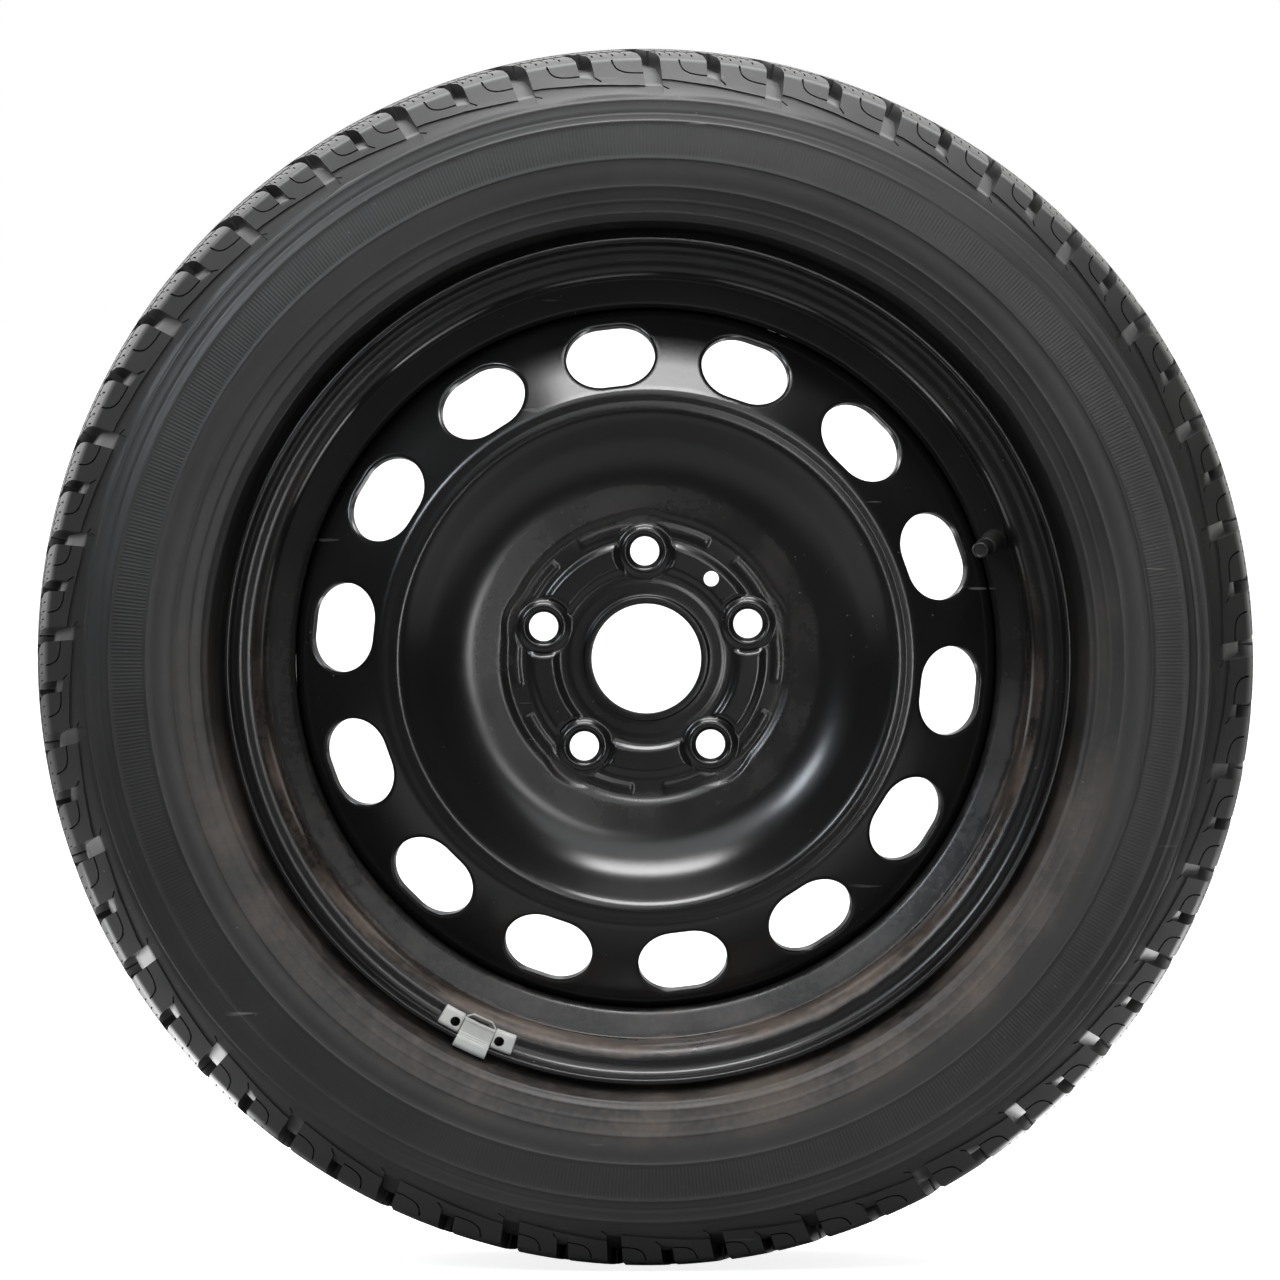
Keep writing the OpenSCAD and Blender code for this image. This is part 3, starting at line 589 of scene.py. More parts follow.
RUBBER = RibbedFinish(
    "tyre_rubber", (0.0125, 0.0122, 0.0117, 1), (0.018, 0.0175, 0.0168, 1), 0.4, specular=0.7,
    grain_scale=300, grain_depth=0.02, scuff=0.5, scuff_colour=(0.28, 0.28, 0.26, 1),
    dust_amount=0.08, dust_colour=(0.1, 0.095, 0.087, 1),
    rings=(Ring(212, 256, (0.13, 0.1, 0.08, 1), 1.0, soft=18, low=0.97),))
RIM_PAINT = Finish(
    "rim_paint", (0.006, 0.006, 0.006, 1), (0.0085, 0.0083, 0.0081, 1), 0.24, specular=0.6,
    grain_scale=45, grain_depth=0.03, scuff=0.5,
    rings=(Ring(196, 207, (0.17, 0.125, 0.1, 1), 1.0, low=0.93),
           # Painted light: this lighter ring lifts the colour of the shaded well, strongest towards the
           # bottom
           Ring(183, 197, (0.085, 0.075, 0.068, 1), 0.8, low=0.93)))
DISC_PAINT = Finish(
    "disc_paint", (0.0065, 0.0065, 0.0065, 1), (0.0085, 0.0084, 0.0082, 1), 0.22, rough_swing=0.05,
    specular=0.7, grain_scale=40, grain_depth=0.03, scuff=0.6, dust_amount=0.015,
    rings=(Ring(68, 92, (0.035, 0.028, 0.024, 1), 0.4),))
WELD_PAINT = Finish(
    "weld_paint", (0.018, 0.018, 0.019, 1), (0.03, 0.03, 0.03, 1), 0.42,
    grain_scale=420, grain_depth=0.35)
VALVE_RUBBER = Finish(
    "valve_rubber", (0.014, 0.014, 0.014, 1), (0.024, 0.023, 0.022, 1), 0.5,
    grain_scale=600, grain_depth=0.02, dust_amount=0.15)
CAP_PLASTIC = Finish(
    "cap_plastic", (0.01, 0.01, 0.0105, 1), (0.016, 0.016, 0.0165, 1), 0.34,
    grain_scale=900, grain_depth=0.012, scuff=0.6, dust_amount=0.1)
SEAL_RUBBER = Finish(
    "seal_rubber", (0.02, 0.02, 0.02, 1), (0.03, 0.03, 0.03, 1), 0.5, grain_scale=900, grain_depth=0.01)
GASKET = Finish(
    "gasket", (0.3, 0.03, 0.02, 1), (0.36, 0.045, 0.03, 1), 0.45, grain_scale=900, grain_depth=0.01)
BRASS = Finish(
    "brass", (0.6, 0.42, 0.17, 1), (0.5, 0.36, 0.16, 1), 0.28, metallic=1.0,
    grain_scale=1200, grain_depth=0.008, dust_amount=0.15)
SPRING = Finish(
    "spring_steel", (0.5, 0.5, 0.5, 1), (0.42, 0.42, 0.43, 1), 0.3, metallic=1.0,
    grain_scale=1500, grain_depth=0.005)
WEIGHT_COAT = Finish(
    "weight_paint", (0.72, 0.73, 0.7, 1), (0.6, 0.61, 0.59, 1), 0.38,
    grain_scale=260, grain_depth=0.03, dust_amount=0.4, dust_colour=(0.36, 0.3, 0.27, 1))
CLIP_COAT = Finish(
    "clip_paint", (0.66, 0.68, 0.65, 1), (0.56, 0.58, 0.55, 1), 0.32,
    grain_scale=260, grain_depth=0.02, dust_amount=0.35, dust_colour=(0.32, 0.28, 0.24, 1))


def dress(piece: bpy.types.Object, finish: Finish) -> None:
    """Gives a piece its one material."""
    material = bpy.data.materials.get(finish.title) or finish.build()
    if piece.material_slots:
        for slot in piece.material_slots:
            slot.material = material
    else:
        piece.data.materials.append(material)


# TYRE
class Level(Enum):
    """How deep a part of the tread lies; a later one wins over an earlier one."""

    LAND = 0
    APRON = 1
    NICK = 2
    HOOK = 3
    SIPE = 4
    SHORT = 5
    LONG = 6


@dataclass
class Tyre:
    """The winter tyre: tread, shoulders, sidewalls and beads in one skin."""

    outer_r: float = 318
    crown_drop: float = 2.8
    edge_z: float = 78
    half_tread: float = 88
    groove_depth: float = 8
    pitch_order: tuple[int, ...] = (3, 1, 2, 1, 1, 2, 3, 3, 4, 3, 0, 0, 3, 4, 1, 0, 1,
                                    2, 3, 3, 1, 2, 4, 1, 1, 0, 3, 2, 1, 1, 0, 1, 3)
    middle_class: int = 2
    pitch_step: float = 0.08
    start: float = 1.2
    slant: float = 10
    long_w: float = 8.66
    short_w: float = 6.8
    ring_z: tuple[float, float] = (21, 56)
    ring_w: tuple[float, float] = (9, 7)
    foot_r: tuple[float, float] = (294.5, 302.5)
    foot_run: float = 5
    foot_depth: tuple[float, float] = (1.5, 1.1)
    apron_r: tuple[float, float] = (298.2, 302.2)
    apron_depth: tuple[float, float] = (1.0, 0.4)
    nick_depth: float = 1.6
    hook_depth: float = 1.9
    ridge_r: float = 292.2
    columns: int = 12
    sipe_w: float = 0.8
    sipe_share: float = 0.72
    sipe_turn: float = 6
    sipe_end_r: float = 314.2
    swing: float = 0.8
    shoulder_swing: float = 0.45
    side_slot_half: float = 1.7
    side_slot_l: float = 13
    middle_slot_half: float = 1.6
    middle_slot_l: float = 7
    cell_start: float = -7.8
    shoulder_sipes: tuple[float, ...] = (-5.6, 10.3, 15.9, 20.9, 25.1, 39.7, 45.3, 50.2)
    side_sipes: tuple[float, ...] = (9.5, 14.8, 20.1, 25.4, 35.2, 40.5, 45.8, 50.9)
    middle_sipes: tuple[float, ...] = (-3.5, 2.5, 8.5, 20.5, 26.5, 32.5, 44.5)
    middle_slots: tuple[float, ...] = (14.5, 38.5)
    middle_gap: float = 3.5
    # Offset from the block's wall and radius of each point of the hook
    hook: tuple[tuple[float, float], ...] = (
        (13.3, 312.4), (13.1, 310.2), (12.4, 308.2), (10.9, 306.7), (8.4, 305.6), (4.8, 305.1), (-1, 305.0))
    cut_w: float = 0.9
    # Radius, width and height of each ring on the sidewall; a negative height sinks it
    side_rings: tuple[Corner, ...] = (
        (291.2, 0.9, 0.55), (284.6, 0.5, -0.35), (280.2, 0.6, 0.4), (261.0, 0.6, 0.4),
        (246.5, 0.5, 0.3), (239.0, 0.5, 0.3), (232.6, 0.7, 0.45), (229.2, 0.8, 0.6))

    def __post_init__(self) -> None:
        """Works out the half outline and the measures that follow from it."""
        crown = [(self.crown(z), z) for z in np.arange(0, self.edge_z, 3.0)]
        wall = rounded([(self.crown(self.edge_z), self.edge_z, 0), (312.9, 88.5, 7), (292.5, 103, 40),
                        (256, 108.2, 70), (229, 102.5, 10), (222.6, 87.55, 0)], 10)
        self.path = np.vstack([crown, wall])
        self.along_path = lengths_of(self.path)
        self.out = -normals_of(self.path)
        self.pitches = len(self.pitch_order)
        self.pitch = 2 * math.pi * self.outer_r / self.pitches
        self.shares = 1 + self.pitch_step * (np.array(self.pitch_order) - self.middle_class)
        self.run = np.concatenate([[0], np.cumsum(self.shares)])
        self.edge_s = float(np.interp(self.edge_z, self.path[:40, 1], self.along_path[:40]))
        self.end_s = self.s_of(self.ridge_r)

    def crown(self, z: float) -> float:
        """Radius of the tread at the height z."""
        return self.outer_r - self.crown_drop * (z / self.edge_z) ** 2

    def s_of(self, r: float) -> float:
        """Length along the half outline at which the shoulder has the radius r."""
        return float(np.interp(-r, -self.path[:, 0], self.along_path))

    def at(self, s: np.ndarray) -> np.ndarray:
        """Points of the half outline."""
        return sampled(s, self.along_path, self.path)

    def sunk(self, s: np.ndarray, depth: np.ndarray | float) -> np.ndarray:
        """Points below the half outline."""
        return self.at(s) - sampled(s, self.along_path, self.out) * np.reshape(depth, (-1, 1))

    def floor(self, s: np.ndarray, foot_r: float) -> np.ndarray:
        """Points on the floor of a groove that ends at the radius foot_r."""
        s_low, s_foot = self.s_of(foot_r + self.foot_run), self.s_of(foot_r)
        flat = self.at(np.minimum(s, self.edge_s)) - np.array([self.groove_depth, 0])
        edge = [self.crown(self.edge_z) - self.groove_depth, self.edge_z]
        low = self.sunk(np.array([s_low, s_foot]), np.array(self.foot_depth))
        steep = sampled(s, np.array([self.edge_s, s_low, s_foot]), np.vstack([edge, low]))
        return np.where((s <= self.edge_s)[:, None], flat, steep)

    def surface(self, level: Level, s: np.ndarray) -> np.ndarray:
        """Points of the half outline at one level of the tread."""
        if level is Level.LAND:
            return self.at(s)
        if level is Level.APRON:
            return self.sunk(s, np.interp(s, [self.s_of(301), self.end_s], self.apron_depth))
        if level is Level.NICK:
            return self.sunk(s, self.nick_depth)
        if level is Level.HOOK:
            return self.sunk(s, self.hook_depth)
        long_floor = self.floor(s, self.foot_r[0])
        if level is Level.SIPE:
            return self.at(s) + self.sipe_share * (long_floor - self.at(s))
        return long_floor if level is Level.LONG else self.floor(s, self.foot_r[1])

    def angle(self, turns: np.ndarray) -> np.ndarray:
        """Angle in degrees after a number of pitches, which may be a fraction."""
        whole = np.floor(turns).astype(int)
        laps, place = whole // self.pitches, whole % self.pitches
        run = laps * self.run[-1] + self.run[place] + (turns - whole) * self.shares[place]
        return self.start + 360 * run / self.run[-1]

    def lean(self, s: np.ndarray) -> np.ndarray:
        """Angle in degrees by which the cross grooves run ahead at s."""
        r, z = self.at(s).T
        return np.degrees((self.half_tread - z) * math.tan(math.radians(self.slant)) / r)

    def strip(self, points: Sequence[tuple[float, float]], width: float) -> np.ndarray:
        """Outline of a narrow cut along a line."""
        line = np.array(points, float)
        side = normals_of(line) * width / 2
        return np.vstack([line + side, (line - side)[::-1]])

    def box(self, x0: float, x1: float, s0: float, s1: float) -> np.ndarray:
        """Outline of a rectangle."""
        return np.array([(x0, s0), (x1, s0), (x1, s1), (x0, s1)], float)

    def zigzag(self, x: float, s0: float, s1: float, swing: float) -> np.ndarray:
        """Outline of a sipe that swings from side to side."""
        turns = max(2, round((s1 - s0) / self.sipe_turn))
        line = [(x + swing * (0 if i in (0, turns) else (-1) ** i), s0 + (s1 - s0) * i / turns)
                for i in range(turns + 1)]
        return self.strip(line, self.sipe_w)

    def cuts(self) -> list[tuple[Level, np.ndarray]]:
        """Every cut of one pitch of one shoulder, with its level."""
        x0, x1 = self.cell_start, self.cell_start + self.pitch
        half = self.pitch / 2
        long_half, short_half = self.long_w / 2, self.short_w / 2
        rings = [(z - w / 2, z + w / 2) for z, w in zip(self.ring_z, self.ring_w)]
        low, high = rings[0][0] + 0.5, rings[1][0] + 0.5
        made = [(Level.LONG, self.box(x0 - 1, x1 + 1, *ring)) for ring in rings]
        made.append((Level.LONG, self.box(-long_half, long_half, self.ring_z[0], self.s_of(self.foot_r[0]))))
        made.append((Level.SHORT, self.box(half - short_half, half + short_half, self.ring_z[1],
                                           self.s_of(self.foot_r[1]))))
        end = self.s_of(self.sipe_end_r)
        for x in self.shoulder_sipes:
            made.append((Level.SIPE, self.zigzag(x, rings[1][1] - 0.5, end, self.shoulder_swing)))
        for x in self.side_sipes:
            made.append((Level.SIPE, self.zigzag(x, rings[0][1] - 0.5, high, self.swing)))
        made.append((Level.SHORT, self.box(half - self.side_slot_half, half + self.side_slot_half,
                                           rings[1][0] - self.side_slot_l, high)))
        for x in self.middle_sipes:
            made.append((Level.SIPE, self.zigzag(x, self.middle_gap, low, self.swing)))
        for x in self.middle_slots:
            made.append((Level.SHORT, self.box(x - self.middle_slot_half, x + self.middle_slot_half,
                                               rings[0][0] - self.middle_slot_l, low)))
        for wall in (long_half, half + short_half):
            line = [(wall + x, self.s_of(r)) for x, r in self.hook]
            made.append((Level.HOOK, self.strip(line, self.cut_w)))
        # Two nicks, from (x, radius) to (x, radius)
        nicks = (((-half + self.pitch - short_half + 0.5, 304), (half - short_half - 2.5, 301.4)),
                 ((-long_half + 0.5, 298.9), (x0 + 0.6, 297.2)))
        for nick in nicks:
            made.append((Level.NICK, self.strip([(x, self.s_of(r)) for x, r in nick], self.cut_w)))
        made.append((Level.APRON, self.apron(x0, x1)))
        return made

    def apron(self, x0: float, x1: float) -> np.ndarray:
        """Outline of the sunk apron below the shoulder blocks, under its slanting step."""
        (low, high), wall = self.apron_r, self.long_w / 2

        def step_r(x: float) -> float:
            """Radius of the step at x, counted from the long groove on its right."""
            return low + (high - low) * (x - wall) / (self.pitch - self.long_w)

        left, right, foot = x0 - 1, x1 + 1, self.s_of(self.ridge_r + 0.9)
        return np.array([(left, self.s_of(step_r(left + self.pitch))), (0, self.s_of(high)),
                         (0, self.s_of(low)), (right, self.s_of(step_r(right))), (right, foot), (left, foot)])

    def cell(self) -> tuple[np.ndarray, np.ndarray, list[Level]]:
        """Triangles of one pitch of one shoulder, on the unrolled tread.

        Returns:
            The points, the triangles, and the level of each triangle.
        """
        x0, x1 = self.cell_start, self.cell_start + self.pitch
        xs = np.linspace(x0, x1, self.columns + 1)
        s = self.along_path
        bends = s[(s > self.edge_s + 0.5) & (s < self.end_s - 0.5)]
        rows = np.concatenate([[0], [8], [34.5, 43.5], [66, 72, self.edge_s], bends, [self.end_s]])
        cuts = self.cuts()
        clipped = [(level, np.column_stack([np.clip(o[:, 0], x0, x1), o[:, 1]])) for level, o in cuts]
        sides_s = sorted(set(np.round(np.concatenate(
            [rows] + [o[(o[:, 0] <= x0) | (o[:, 0] >= x1), 1] for _, o in clipped]), 6)))
        sides = [np.column_stack([np.full(len(sides_s), x), sides_s]) for x in (x0, x1)]
        lines = sides + [np.column_stack([xs, np.full(len(xs), s)]) for s in rows]
        points, triangles = triangulated([o for _, o in clipped], lines, np.empty((0, 2)))
        middles = points[triangles].mean(1)
        levels = np.zeros(len(triangles), int)
        for level, outline in clipped:
            levels = np.where(inside(middles, outline), np.maximum(levels, level.value), levels)
        return points, triangles, [Level(v) for v in levels]

    def tread(self, skin: Skin) -> None:
        """Adds every pitch of both shoulders."""
        points, triangles, levels = self.cell()
        index: dict[tuple[int, Level], int] = {}
        faces: list[tuple[int, ...]] = []
        edges: dict[tuple[int, int], list[Level]] = {}
        for triangle, level in zip(triangles.tolist(), levels):
            faces.append(tuple(index.setdefault((v, level), len(index)) for v in triangle))
            for a, b in zip(triangle, triangle[1:] + triangle[:1]):
                edges.setdefault((min(a, b), max(a, b)), []).append(level)
        for (a, b), pair in edges.items():
            if len(pair) == 2 and pair[0] is not pair[1]:
                faces.append((index[a, pair[0]], index[b, pair[0]], index[b, pair[1]], index[a, pair[1]]))
        order = list(index)
        at = points[[v for v, _ in order]]
        shape = np.zeros((len(order), 2))
        for level in set(levels):
            chosen = [i for i, (_, l) in enumerate(order) if l is level]
            shape[chosen] = self.surface(level, at[chosen, 1])
        lean = self.lean(at[:, 1])
        for side, shift in ((1, 0.0), (-1, 0.5)):
            for i in range(self.pitches):
                theta = self.angle(i + shift + at[:, 0] / self.pitch) + lean
                skin.add(placed(shape[:, 0], theta, side * shape[:, 1]), faces)
        log.info("tread cell: %d triangles and walls", len(faces))

    def relief(self, path: np.ndarray) -> np.ndarray:
        """Raises the sidewall's rings: ridges and fine lines round the wheel."""
        out = -normals_of(path)
        lift = sum(h * np.exp(-((path[:, 0] - r) / w) ** 2) for r, w, h in self.side_rings)
        return path + out * np.where(path[:, 1] > HALF_RIM, lift, 0)[:, None]

    def wall(self, fine: bool) -> np.ndarray:
        """The outline from the ridge to the toe of the bead."""
        end = self.along_path[-1]
        if fine:
            s = [self.end_s]
            s += [self.s_of(r) + d for r, _, _ in self.side_rings for d in (-1.1, -0.4, 0.4, 1.1)]
            s += list(np.linspace(self.end_s + 2, end, 24))
        else:
            s = [self.end_s] + list(np.linspace(self.end_s + 2, end, 18))
        path = self.at(np.array(sorted(v for v in s if v <= end)))
        if fine:
            path = self.relief(path)
        path[0] = self.at(np.array([self.end_s]))[0]
        bead = np.vstack([
            [np.array(CURL) + 11.1 * along(-40)],
            arc(CURL, 9.6, -62, -90, 3),
            arc((SEAT_R + 6.5, HALF_RIM - 6.5), 6.4, 90, 180, 5),
            [(SEAT_R + 0.1 - 18.5 * math.tan(math.radians(5)), HALF_RIM - 18.5)]])
        return np.vstack([path, bead])

    def build(self) -> bpy.types.Object:
        """Makes the tyre."""
        skin = Skin()
        self.tread(skin)
        xs = np.linspace(self.cell_start, self.cell_start + self.pitch, self.columns + 1)[:-1]
        lean = self.lean(np.array([self.end_s]))[0]
        turns = (np.arange(self.pitches)[:, None] + xs[None] / self.pitch).ravel()
        liner = rounded([(SEAT_R + 3, HALF_RIM - 19.5, 0), (229, 90, 30), (256, 99, 50), (296.5, 93, 17),
                         (301, 72, 30), (303, 30, 40), (303.4, 0, 0)], 2)
        outer, inner = self.wall(True), self.wall(False)
        liner_back = (liner * [1, -1])[::-1][1:]
        path = np.vstack([outer, liner, liner_back, (inner * [1, -1])[::-1]])
        skin.revolve(path, self.angle(turns) + lean, closed=False)
        tyre = skin.piece("tyre_winter", "wheel", "tyre_rubber", sharp=38, weld=5e-6)
        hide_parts("tyre")
        dress(tyre, RUBBER)
        return tyre


# RIM
@dataclass
class Rim:
    """The rolled rim: one bent sheet with a hole for the valve."""

    thickness: float = 2.8
    columns: int = 300
    seat_angle: float = 5
    toe: float = 19
    hump: float = 23
    hump_drop: float = 1.2
    flange_bend: float = 8.1
    heel_bend: float = 7.9
    flange_top: float = 218.7
    flange_end_z: float = 95.05
    well_mid_r: float = 184.1
    drop_top: tuple[float, float] = (199.0, 55.6)
    drop_foot: tuple[float, float] = (184.1, 51.6)
    well_in_z: float = 9

    def outline(self) -> np.ndarray:
        """Closed outline of the sheet."""
        mid = self.thickness / 2
        slope = math.tan(math.radians(self.seat_angle))
        toe_r, hump_r = SEAT_R - self.toe * slope - mid, SEAT_R - self.hump_drop
        flange_z, heel_r = HALF_RIM + mid, SEAT_R - mid
        edge_r, edge_z = self.flange_top, self.flange_end_z
        flange, heel, toe, hump = self.flange_bend, self.heel_bend, HALF_RIM - self.toe, HALF_RIM - self.hump
        corners = [(edge_r, edge_z, 0), (edge_r, flange_z, flange), (heel_r, flange_z, heel),
                   (toe_r, toe, 4), (hump_r, hump, 3.9), (*self.drop_top, 3), (*self.drop_foot, 4),
                   (self.well_mid_r, self.well_in_z, 10), (toe_r, -18, 12), (toe_r, 28 - HALF_RIM, 4),
                   (hump_r, -hump, 4), (toe_r, -toe, 4), (heel_r, -flange_z, heel),
                   (edge_r, -flange_z, flange), (edge_r, -edge_z, 0)]
        path = rounded(corners, 7)
        outer, inner = beside(path, mid), beside(path, -mid)
        return np.vstack([self.eased(outer, inner, 0), outer[1:-1], self.eased(outer, inner, -1)[::-1],
                          inner[1:-1][::-1]])

    def eased(self, outer: np.ndarray, inner: np.ndarray, end: int) -> np.ndarray:
        """Rounded edge of the sheet at one end."""
        a, b = inner[end], outer[end]
        back = unit(outer[1] - outer[0]) if end == 0 else unit(outer[-2] - outer[-1])
        across = b - a
        steps = ((0.0, 0.7), (0.1, 0.25), (0.28, 0.0), (0.72, 0.0), (0.9, 0.25), (1.0, 0.7))
        return np.array([a + across * t + back * d for t, d in steps])

    def build(self) -> bpy.types.Object:
        """Makes the rim."""
        skin = Skin()
        skin.revolve(self.outline(), np.arange(self.columns) * 360 / self.columns)
        rim = skin.piece("rim_rolled", "wheel", "rim_paint", sharp=40)
        cut(rim, Valve().hole(), 40)
        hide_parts("rim")
        dress(rim, RIM_PAINT)
        return rim


# DISC
@dataclass
class Disc:
    """The pressed disc: pad, bowl, crest, vented band and skirt."""

    thickness: float = 4
    pad_z: float = 48
    pad_r: float = 73.5
    bore_r: float = 28.55
    collar_top: float = 54
    inner_r: float = 36
    bowl_end_r: float = 128
    bolt_r: float = 56
    bolts: int = 5
    bolt_phase: float = 18.8
    hole_r: float = 7.6
    seat_mouth_r: float = 9.8
    seat_ball_r: float = 13
    boss_h: float = 2
    pocket_r: float = 20.6
    locating: tuple[float, float, float] = (53.6, 50.8, 4.0)
    field_r: float = 53.8
    field_half: tuple[float, float] = (27.5, 9.0)
    field_h: float = 1.9
    field_corner: float = 6.0
    field_slope: float = 4.2
    low_ring_h: float = 0.5
    clear_r: float = 14.0
    clear_w: float = 2.4
    # Point spacing of the outer face on the pad and on the bowl, and of the inner face
    spacings: tuple[float, float, float] = (0.95, 2.2, 2.4)
    pad_end_r: float = 79
    crest_r: float = 139
    crest_z: float = 71.8
    skirt_r: float = 180.65
    vents: int = 14
    vent_phase: float = 19.7
    vent_r: float = 157.925
    vent_half: tuple[float, float] = (23.2, 18.2)
    band_angle: float = 32
    # How far the edge of a vent rolls in: its width, its depth outside and its depth inside
    roll_w: float = 1.6
    roll_top: float = 0.75
    roll_under: float = 0.3
    columns: int = 700

    def __post_init__(self) -> None:
        """Works out the sheet's middle line."""
        crest, skirt_r = self.crest_z, self.skirt_r
        foot_z = crest - (skirt_r - self.crest_r) * math.tan(math.radians(self.band_angle))
        corners = [(30.55, self.pad_z, 0), (self.pad_r, self.pad_z, 5), (self.pad_r + 3, 49.8, 5),
                   (99.5, 51.4, 46), (114, 59.6, 40), (129.6, crest + 1, 5), (134.68, crest - 0.1, 5),
                   (self.crest_r, crest, 5.5), (skirt_r, foot_z, 9), (skirt_r, foot_z - 28, 0)]
        self.middle = rounded(corners, 14)
        self.left = normals_of(self.middle)
        self.along_middle = lengths_of(self.middle)
        half = self.thickness / 2
        self.top, self.under = self.middle + self.left * half, self.middle - self.left * half
        self.join_s = float(np.interp(self.bowl_end_r, self.top[:, 0], self.along_middle))
        self.skirt_s = float(self.along_middle[-2])
        self.step = 360 / self.columns
        base = self.vent_phase - 180 / self.vents
        self.first_angle = base + round((self.bolt_phase - 20 - base) / self.step) * self.step

    def face(self, s: np.ndarray, lift: np.ndarray | float) -> np.ndarray:
        """Points at a distance above the middle line."""
        left = sampled(s, self.along_middle, self.left)
        return sampled(s, self.along_middle, self.middle) + left * np.reshape(lift, (-1, 1))

    def bolt_distance(self, xy: np.ndarray) -> np.ndarray:
        """Distance to the nearest bolt's axis."""
        turns = [self.bolt_phase + i * 360 / self.bolts for i in range(self.bolts)]
        return nearest(xy, np.array([self.bolt_r * along(turn) for turn in turns]))

    def clear(self, to_bolt: np.ndarray) -> np.ndarray:
        """Share of a raised form that stands at a distance from the bolts."""
        return smooth_step((to_bolt - self.clear_r) / self.clear_w)

    def between_bolts(self, xy: np.ndarray) -> tuple[np.ndarray, np.ndarray]:
        """Radius, and angle in degrees from the middle between two bolts."""
        step = 360 / self.bolts
        theta = np.degrees(np.arctan2(xy[:, 1], xy[:, 0]))
        return np.hypot(xy[:, 0], xy[:, 1]), np.abs((theta - self.bolt_phase) % step - step / 2)

    def fields(self, xy: np.ndarray) -> np.ndarray:
        """Height of the raised fields between the bolts, as a share."""
        r, off = self.between_bolts(xy)
        corner = self.field_corner
        dx = np.radians(off) * self.field_r - (self.field_half[0] - corner)
        dy = np.abs(r - self.field_r) - (self.field_half[1] - corner)
        outside = np.hypot(np.maximum(dx, 0), np.maximum(dy, 0))
        distance = outside + np.minimum(np.maximum(dx, dy), 0) - corner
        return smooth_step(-distance / self.field_slope)

    def low_ring(self, xy: np.ndarray) -> np.ndarray:
        """Height of the low ring outside the fields, as a share."""
        r, off = self.between_bolts(xy)
        ends = smooth_step((off - 6.6) / 0.8)
        return smooth_step((r - 65.6) / 1.1) * smooth_step((71.0 - r) / 1.3) * ends

    def pad_top(self, xy: np.ndarray) -> np.ndarray:
        """Height of the outer face on pad and bowl."""
        r = np.hypot(xy[:, 0], xy[:, 1])
        flat = self.pad_z + self.thickness / 2
        base = np.interp(r, self.top[:, 0], self.top[:, 1])
        to_bolt = self.bolt_distance(xy)
        pocket = smooth_step((self.pocket_r + 1.6 - to_bolt) / 3.2)
        base = base + (np.minimum(flat, base) - base) * pocket
        clear = self.clear(to_bolt)
        base = base + self.field_h * self.fields(xy) * clear + self.low_ring_h * self.low_ring(xy) * clear
        base = base + 0.3 * smooth_step((41.2 - r) / 1.2)
        boss = self.boss_h * smooth_step((14.7 - to_bolt) / 3.6)
        base = np.maximum(base, flat + boss)
        rise = math.sqrt(self.seat_ball_r ** 2 - self.seat_mouth_r ** 2)
        bowl = flat + self.boss_h + rise - np.sqrt(np.maximum(self.seat_ball_r ** 2 - to_bolt ** 2, 1))
        return np.where(to_bolt < self.seat_mouth_r + 0.01, np.minimum(base, bowl), base)

    def pad_under(self, xy: np.ndarray) -> np.ndarray:
        """Height of the inner face on pad and bowl."""
        r = np.hypot(xy[:, 0], xy[:, 1])
        base = np.interp(r, self.under[:, 0], self.under[:, 1])
        return base + self.field_h * self.fields(xy) * self.clear(self.bolt_distance(xy))

    def spacing(self, fine: bool, r: float) -> float:
        """Distance between points at a radius; the outer face is fine, and finest on the pad."""
        pad, bowl, under = self.spacings
        if not fine:
            return under
        return pad if r < self.pad_end_r else bowl

    def sector(self, with_locating: bool, fine: bool,
               outer_r: float) -> tuple[np.ndarray, np.ndarray, list[np.ndarray]]:
        """Triangles of one bolt's share of the pad and bowl.

        Args:
            with_locating: whether the locating hole is in it.
            fine: whether its points stand close.
            outer_r: radius at which the sector ends.

        Returns:
            The points, the triangles and the loops of its holes.
        """
        step, start = self.step, self.first_angle
        end = start + 360 / self.bolts
        inner = np.array([self.inner_r * along(start + i * 2 * step) for i in range(self.columns // 10 + 1)])
        outer = np.array([outer_r * along(start + i * step) for i in range(self.columns // 5 + 1)])
        radii = [self.inner_r]
        while radii[-1] + 1.4 * self.spacing(fine, radii[-1]) < outer_r:
            radii.append(radii[-1] + self.spacing(fine, radii[-1]))
        radii.append(outer_r)
        sides = [np.array([r * along(a) for r in radii]) for a in (start, end)]
        centre = self.bolt_r * along(self.bolt_phase)
